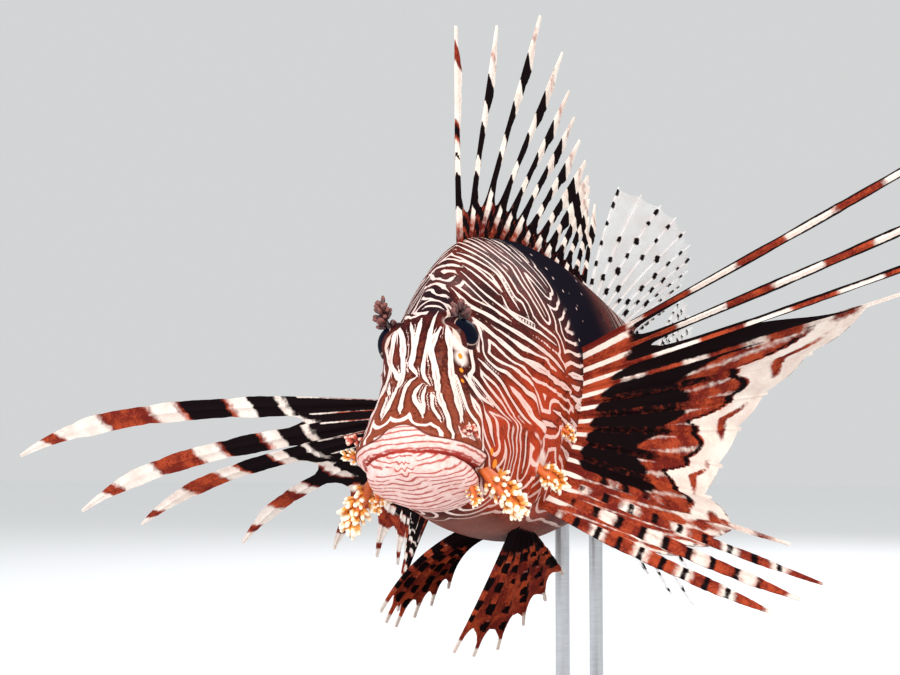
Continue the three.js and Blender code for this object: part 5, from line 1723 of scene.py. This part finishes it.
@dataclass(frozen=True)
class FinFinish:
    """A fin's skin: pale, rusty and dark where the fin's fields say so, with soft uneven edges."""

    name: str
    pale: Colour = (238, 226, 216)
    tint: Colour = (206, 178, 166)
    rust: Colour = (170, 70, 42)
    warm: Colour = (106, 34, 28)
    dark: Colour = (20, 12, 14)
    grain: float = 1.8
    clear: bool = False

    def material(self) -> Material:
        """Builds the node tree; a clear fin also reads its alpha from the clear field."""
        s = Shader(self.name, Roughness=0.4, Coat_Weight=0.02, Coat_Roughness=0.3, Specular_IOR_Level=0.0)
        fine, broad, grain = s.noise(self.grain), s.noise(6.0), s.noise(0.6, 3.0)
        shift = (fine - 0.5) * 0.55
        pale = s.mix((broad * 0.6 + grain * 0.4).step(0.35, 0.7) * 0.6, self.pale, self.tint)
        rust = s.mix((broad + (grain - 0.5) * 0.6).step(0.35, 0.7), self.warm, self.rust)
        colour = s.mix((s.read("warm") + shift).step(0.3, 0.7), pale, rust)
        colour = s.mix((s.read("dark") + shift).step(0.35, 0.65), colour, self.dark)
        height = grain * 0.6 + fine * 0.4
        links = {"Base_Color": colour, "Roughness": 0.32 + grain * 0.25, "height": height, "depth": 0.12}
        if self.clear:
            links["Alpha"] = 1 - s.read("clear")
        return s.finish(**links)


@dataclass(frozen=True)
class EyeFinish:
    """A dark eye with a blue-black pupil, a thin pale ring and an iris that carries the head's stripes."""

    # the angle off the gaze at which the pupil ends, that of the ring, and where the lid begins in front
    PUPIL, RING, LID = (0.68, 0.64), 0.7, (0.34, 0.4)

    pupil: Colour = (5, 9, 24)
    ring: Colour = (214, 184, 170)
    iris: Colour = (46, 16, 18)
    lid: Colour = (70, 28, 26)

    def material(self) -> Material:
        """Builds the node tree from the angle off the gaze."""
        s = Shader("EyeFinish", Roughness=0.3, Coat_Weight=0.14, Coat_Roughness=0.05, Specular_IOR_Level=0.0)
        gaze = s.read("gaze")
        ray = (s.read("spoke") + (s.noise(1.2) - 0.5) * 1.2).step(0.3, 0.6)
        iris = s.mix(ray * 0.5, self.iris, self.ring)
        colour = s.mix(gaze.step(*self.PUPIL), iris, self.pupil)
        rim = abs(gaze - self.RING).step(0.035, 0.015)
        colour = s.mix(rim * 0.5, colour, self.ring)
        front = s.read("front") + (s.noise(2.0) - 0.5) * 0.1
        lid = s.mix(abs(front - 0.62).step(0.1, 0.06), self.lid, self.ring)
        colour = s.mix(front.step(*self.LID), colour, lid)
        return s.finish(Base_Color=colour)


@dataclass(frozen=True)
class TasselFinish:
    """A frilled flap: one colour at the root, another along the fingers and pale at their tips."""

    name: str
    root: Colour
    finger: Colour
    tip: Colour

    def material(self) -> Material:
        """Builds the node tree from the tip field."""
        s = Shader(self.name, Roughness=0.5, Coat_Weight=0.1, Coat_Roughness=0.35)
        t = s.read("tip") + (s.noise(1.0) - 0.5) * 0.35
        colour = s.mix(t.step(0.15, 0.5), self.root, self.finger)
        colour = s.mix(t.step(0.66, 0.92), colour, self.tip)
        rough = 0.4 + s.noise(0.5) * 0.25
        return s.finish(Base_Color=colour, Roughness=rough, height=s.noise(0.5), depth=0.08)


@dataclass(frozen=True)
class WoodFinish:
    """Dark stained wood with a satin varnish."""

    light: Colour = (92, 58, 38)
    dark: Colour = (44, 25, 17)

    def material(self) -> Material:
        """Builds grain from noise stretched along the board."""
        s = Shader("WoodFinish", Coat_Weight=0.35, Coat_Roughness=0.2)
        board = s.place((1.0, 0.08, 1.0))
        wide, narrow = s.noise(6.0, 4.0, board), s.noise(0.9, 2.0, board)
        rings = abs((wide * 6.0) % 1.0 - 0.5) * 2.0
        colour = s.mix(rings * 0.6 + narrow * 0.4, self.dark, self.light)
        height = rings * 0.3 + narrow * 0.7
        return s.finish(Base_Color=colour, Roughness=0.3 + narrow * 0.25, height=height, depth=0.05)


@dataclass(frozen=True)
class SteelFinish:
    """Steel rod, brushed round its axis."""

    bright: Colour = (205, 207, 210)
    dull: Colour = (168, 171, 176)

    def material(self) -> Material:
        """Builds fine lines from noise stretched round the rod."""
        s = Shader("SteelFinish", Metallic=1.0)
        line = s.noise(0.5, 3.0, s.place((0.1, 0.1, 1.0)))
        colour = s.mix(line, self.dull, self.bright)
        return s.finish(Base_Color=colour, Roughness=0.22 + line * 0.2, height=line, depth=0.02)


@dataclass(frozen=True)
class Studio:
    """The floor, the lights and the camera, which stands where the photograph was taken from."""

    # the camera: distance from the snout in millimetres, turn to the fish's left, focal length in pixels
    DISTANCE, ROUND, FOCAL = 314.0, math.radians(16.5), 1532.0
    # the photograph's size in pixels, and where the level view ahead of the camera meets it
    FRAME, LEVEL_POINT = (900.0, 675.0), (403.0, 452.0)
    # width of the sensor in millimetres, and nearest and furthest distance that is drawn in metres
    SENSOR, CLIP = 36.0, (0.01, 50.0)
    # half width of the floor in metres, and its cells along a side
    FLOOR, CELLS = 4.0, 24
    PALE, FLOOR_PALE, AMBIENT = (250, 252, 253), (251, 252, 253), 0.68
    # the point in metres that the lights face, and each one's name, place, size, power and tint
    LIT = (0.0, -0.05, 0.1)
    LIGHTS = (
        ("KeyLight", (0.3, -0.75, 0.65), 0.4, 7.5, (255, 250, 244)),
        ("FillLight", (-0.8, -0.6, 0.35), 0.7, 3.5, (240, 246, 255)),
        ("BackLight", (0.1, 0.9, 0.8), 0.6, 5.0, (250, 250, 255)),
    )

    body: Body

    def camera(self) -> None:
        """A camera turned from the level view towards the middle of the frame."""
        snout = self.body.world(np.zeros(3))
        s, c = math.sin(self.ROUND), math.cos(self.ROUND)
        spot = snout + np.array([s, -c, 0.0]) * self.DISTANCE * MM
        right = (self.FRAME[0] / 2 - self.LEVEL_POINT[0]) / self.FOCAL
        up = (self.LEVEL_POINT[1] - self.FRAME[1] / 2) / self.FOCAL
        forward = unit(np.array([-s, c, 0.0]) + right * np.array([c, s, 0.0]) + np.array([0.0, 0.0, up]))
        data = bpy.data.cameras.new("Camera")
        data.sensor_width = self.SENSOR
        data.lens = self.FOCAL / self.FRAME[0] * data.sensor_width
        data.clip_start, data.clip_end = self.CLIP
        camera = bpy.data.objects.new("Camera", data)
        camera.location = spot.tolist()
        camera.rotation_euler = (
            math.pi / 2 + math.asin(forward[2]), 0.0, math.atan2(-forward[0], forward[1]),
        )
        bpy.context.scene.collection.objects.link(camera)
        bpy.context.scene.camera = camera

    def light(
        self, name: str, spot: Triple, size: float, watts: float, tint: Colour
    ) -> None:
        """A square soft light that faces the fish."""
        data = bpy.data.lights.new(name, "AREA")
        data.shape, data.size, data.energy = "SQUARE", size, watts
        data.color = linear(tint)[:3]
        lamp = bpy.data.objects.new(name, data)
        lamp.location = spot
        way = unit(np.array(self.LIT) - np.array(spot))
        lamp.rotation_euler = (math.acos(-way[2]), 0.0, math.atan2(way[0], -way[1]) + math.pi)
        bpy.context.scene.collection.objects.link(lamp)

    def floor(self) -> None:
        """A wide plain pale floor."""
        n = self.CELLS
        x = np.linspace(-self.FLOOR, self.FLOOR, n + 1)
        grid = np.stack([*np.meshgrid(x, x, indexing="ij"), np.zeros((n + 1, n + 1))], -1).reshape(-1, 3)
        index = np.arange((n + 1) ** 2).reshape(n + 1, n + 1)
        quads = np.stack([index[:-1, :-1], index[1:, :-1], index[1:, 1:], index[:-1, 1:]], -1).reshape(-1, 4)
        uv = grid[:, :2] / (2 * self.FLOOR) + 0.5
        s = Shader("FloorFinish", Roughness=0.8, Specular_IOR_Level=0.1, Base_Color=linear(self.FLOOR_PALE))
        patch = Patch(grid, quads, np.zeros((0, 3), int), uv)
        patch.object("Floor", s.material)

    def build(self) -> None:
        """Sets up the whole studio."""
        self.camera()
        self.floor()
        for light in self.LIGHTS:
            self.light(*light)
        world = bpy.data.worlds.new("Studio")
        world.use_nodes = True
        world.node_tree.nodes["Background"].inputs["Color"].default_value = linear(self.PALE)
        world.node_tree.nodes["Background"].inputs["Strength"].default_value = self.AMBIENT
        bpy.context.scene.world = world
        bpy.context.scene.view_settings.view_transform = "Standard"


BROW = {"length": 8, "width": 1.5, "fingers": 30, "finger": 2.4, "look": "dark", "above": True}
NOSE = {"length": 3.6, "width": 1.0, "fingers": 16, "finger": 1.5, "look": "red"}
JAW = {"length": 14, "width": 4.0, "fingers": 90, "finger": 2.3, "look": "orange"}
CHEEK = {"length": 8.5, "width": 3.6, "fingers": 60, "finger": 2.0, "look": "orange"}
SMALL = {"length": 3.8, "width": 1.8, "fingers": 26, "finger": 1.3, "look": "orange", "added": True}
TASSELS = (
    Tassel("brow_tentacle", LEFT, (0.114, 0.031), (0.1, 0.9, 0.6), seed=1, **BROW),
    Tassel("brow_tentacle", RIGHT, (0.114, 0.031), (0.4, 0.1, 1), seed=2, **BROW),
    Tassel("nose_flap", LEFT, (0.036, 0.012), (1, 0.1, -0.3), seed=3, **NOSE),
    Tassel("nose_flap", RIGHT, (0.036, 0.012), (1, 0, 0), seed=4, **NOSE),
    Tassel("jaw_flap", LEFT, (0.075, -0.03), (0.8, -0.2, -1), seed=5, **JAW),
    Tassel("jaw_flap", RIGHT, (0.075, -0.03), (0.6, -0.3, -1), seed=6, **JAW),
    Tassel("cheek_flap", LEFT, (0.215, -0.045), (1, -0.1, -0.9), seed=7, **CHEEK),
    Tassel("cheek_flap", RIGHT, (0.215, -0.045), (1, -0.1, -0.9), seed=8, **CHEEK),
    Tassel("chin_flap", LEFT, (0.055, -0.043), (0.2, 0.1, -1), seed=9, **SMALL),
    Tassel("chin_flap", RIGHT, (0.055, -0.043), (0.2, 0.1, -1), seed=10, **SMALL),
    Tassel("lip_flap", RIGHT, (0.05, -0.005), (1, -0.2, 0.3), seed=11, **SMALL),
    Tassel("gill_flap", LEFT, (0.275, -0.012), (0.7, 0.3, -0.7), seed=12, **SMALL),
    Tassel("gill_flap", RIGHT, (0.275, -0.012), (0.7, 0.3, -0.7), seed=13, **SMALL),
)


def main() -> None:
    """Builds the fish around its frame, then the studio, and reports each piece."""
    logging.basicConfig(level=logging.INFO, format="%(message)s")
    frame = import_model()
    body = Body()
    Skin(body, Markings(body)).build(SkinFinish().material())
    banded, clear = FinFinish("BandedFin"), FinFinish("ClearFin", pale=(240, 240, 240), clear=True)
    for kind in (SpinyDorsal, PectoralLeft, PectoralRight, PelvicLeft, PelvicRight):
        kind(body).build(banded.material())
    for kind in (SoftDorsal, AnalFin, TailFin):
        kind(body).build(clear.material())
    for side in Side:
        Eyes(body).build(side, EyeFinish().material())
    flaps = {
        "orange": TasselFinish("OrangeFlap", (204, 96, 36), (238, 160, 66), (255, 242, 220)).material(),
        "dark": TasselFinish("DarkFlap", (30, 12, 14), (70, 28, 28), (120, 66, 58)).material(),
        "red": TasselFinish("RedFlap", (120, 34, 26), (186, 70, 48), (236, 190, 172)).material(),
    }
    for tassel in TASSELS:
        tassel.build(body, flaps[tassel.look])
    wood, steel = WoodFinish().material(), SteelFinish().material()
    for name, node in frame["nodes"].items():
        if name.startswith("stand_"):
            node.data.materials.clear()
            node.data.materials.append(wood if name == "stand_base" else steel)
            log.info("%s: keeps its solid, dressed in %s", name, node.data.materials[0].name)
    Studio(body).build()


if __name__ == "__main__":
    main()
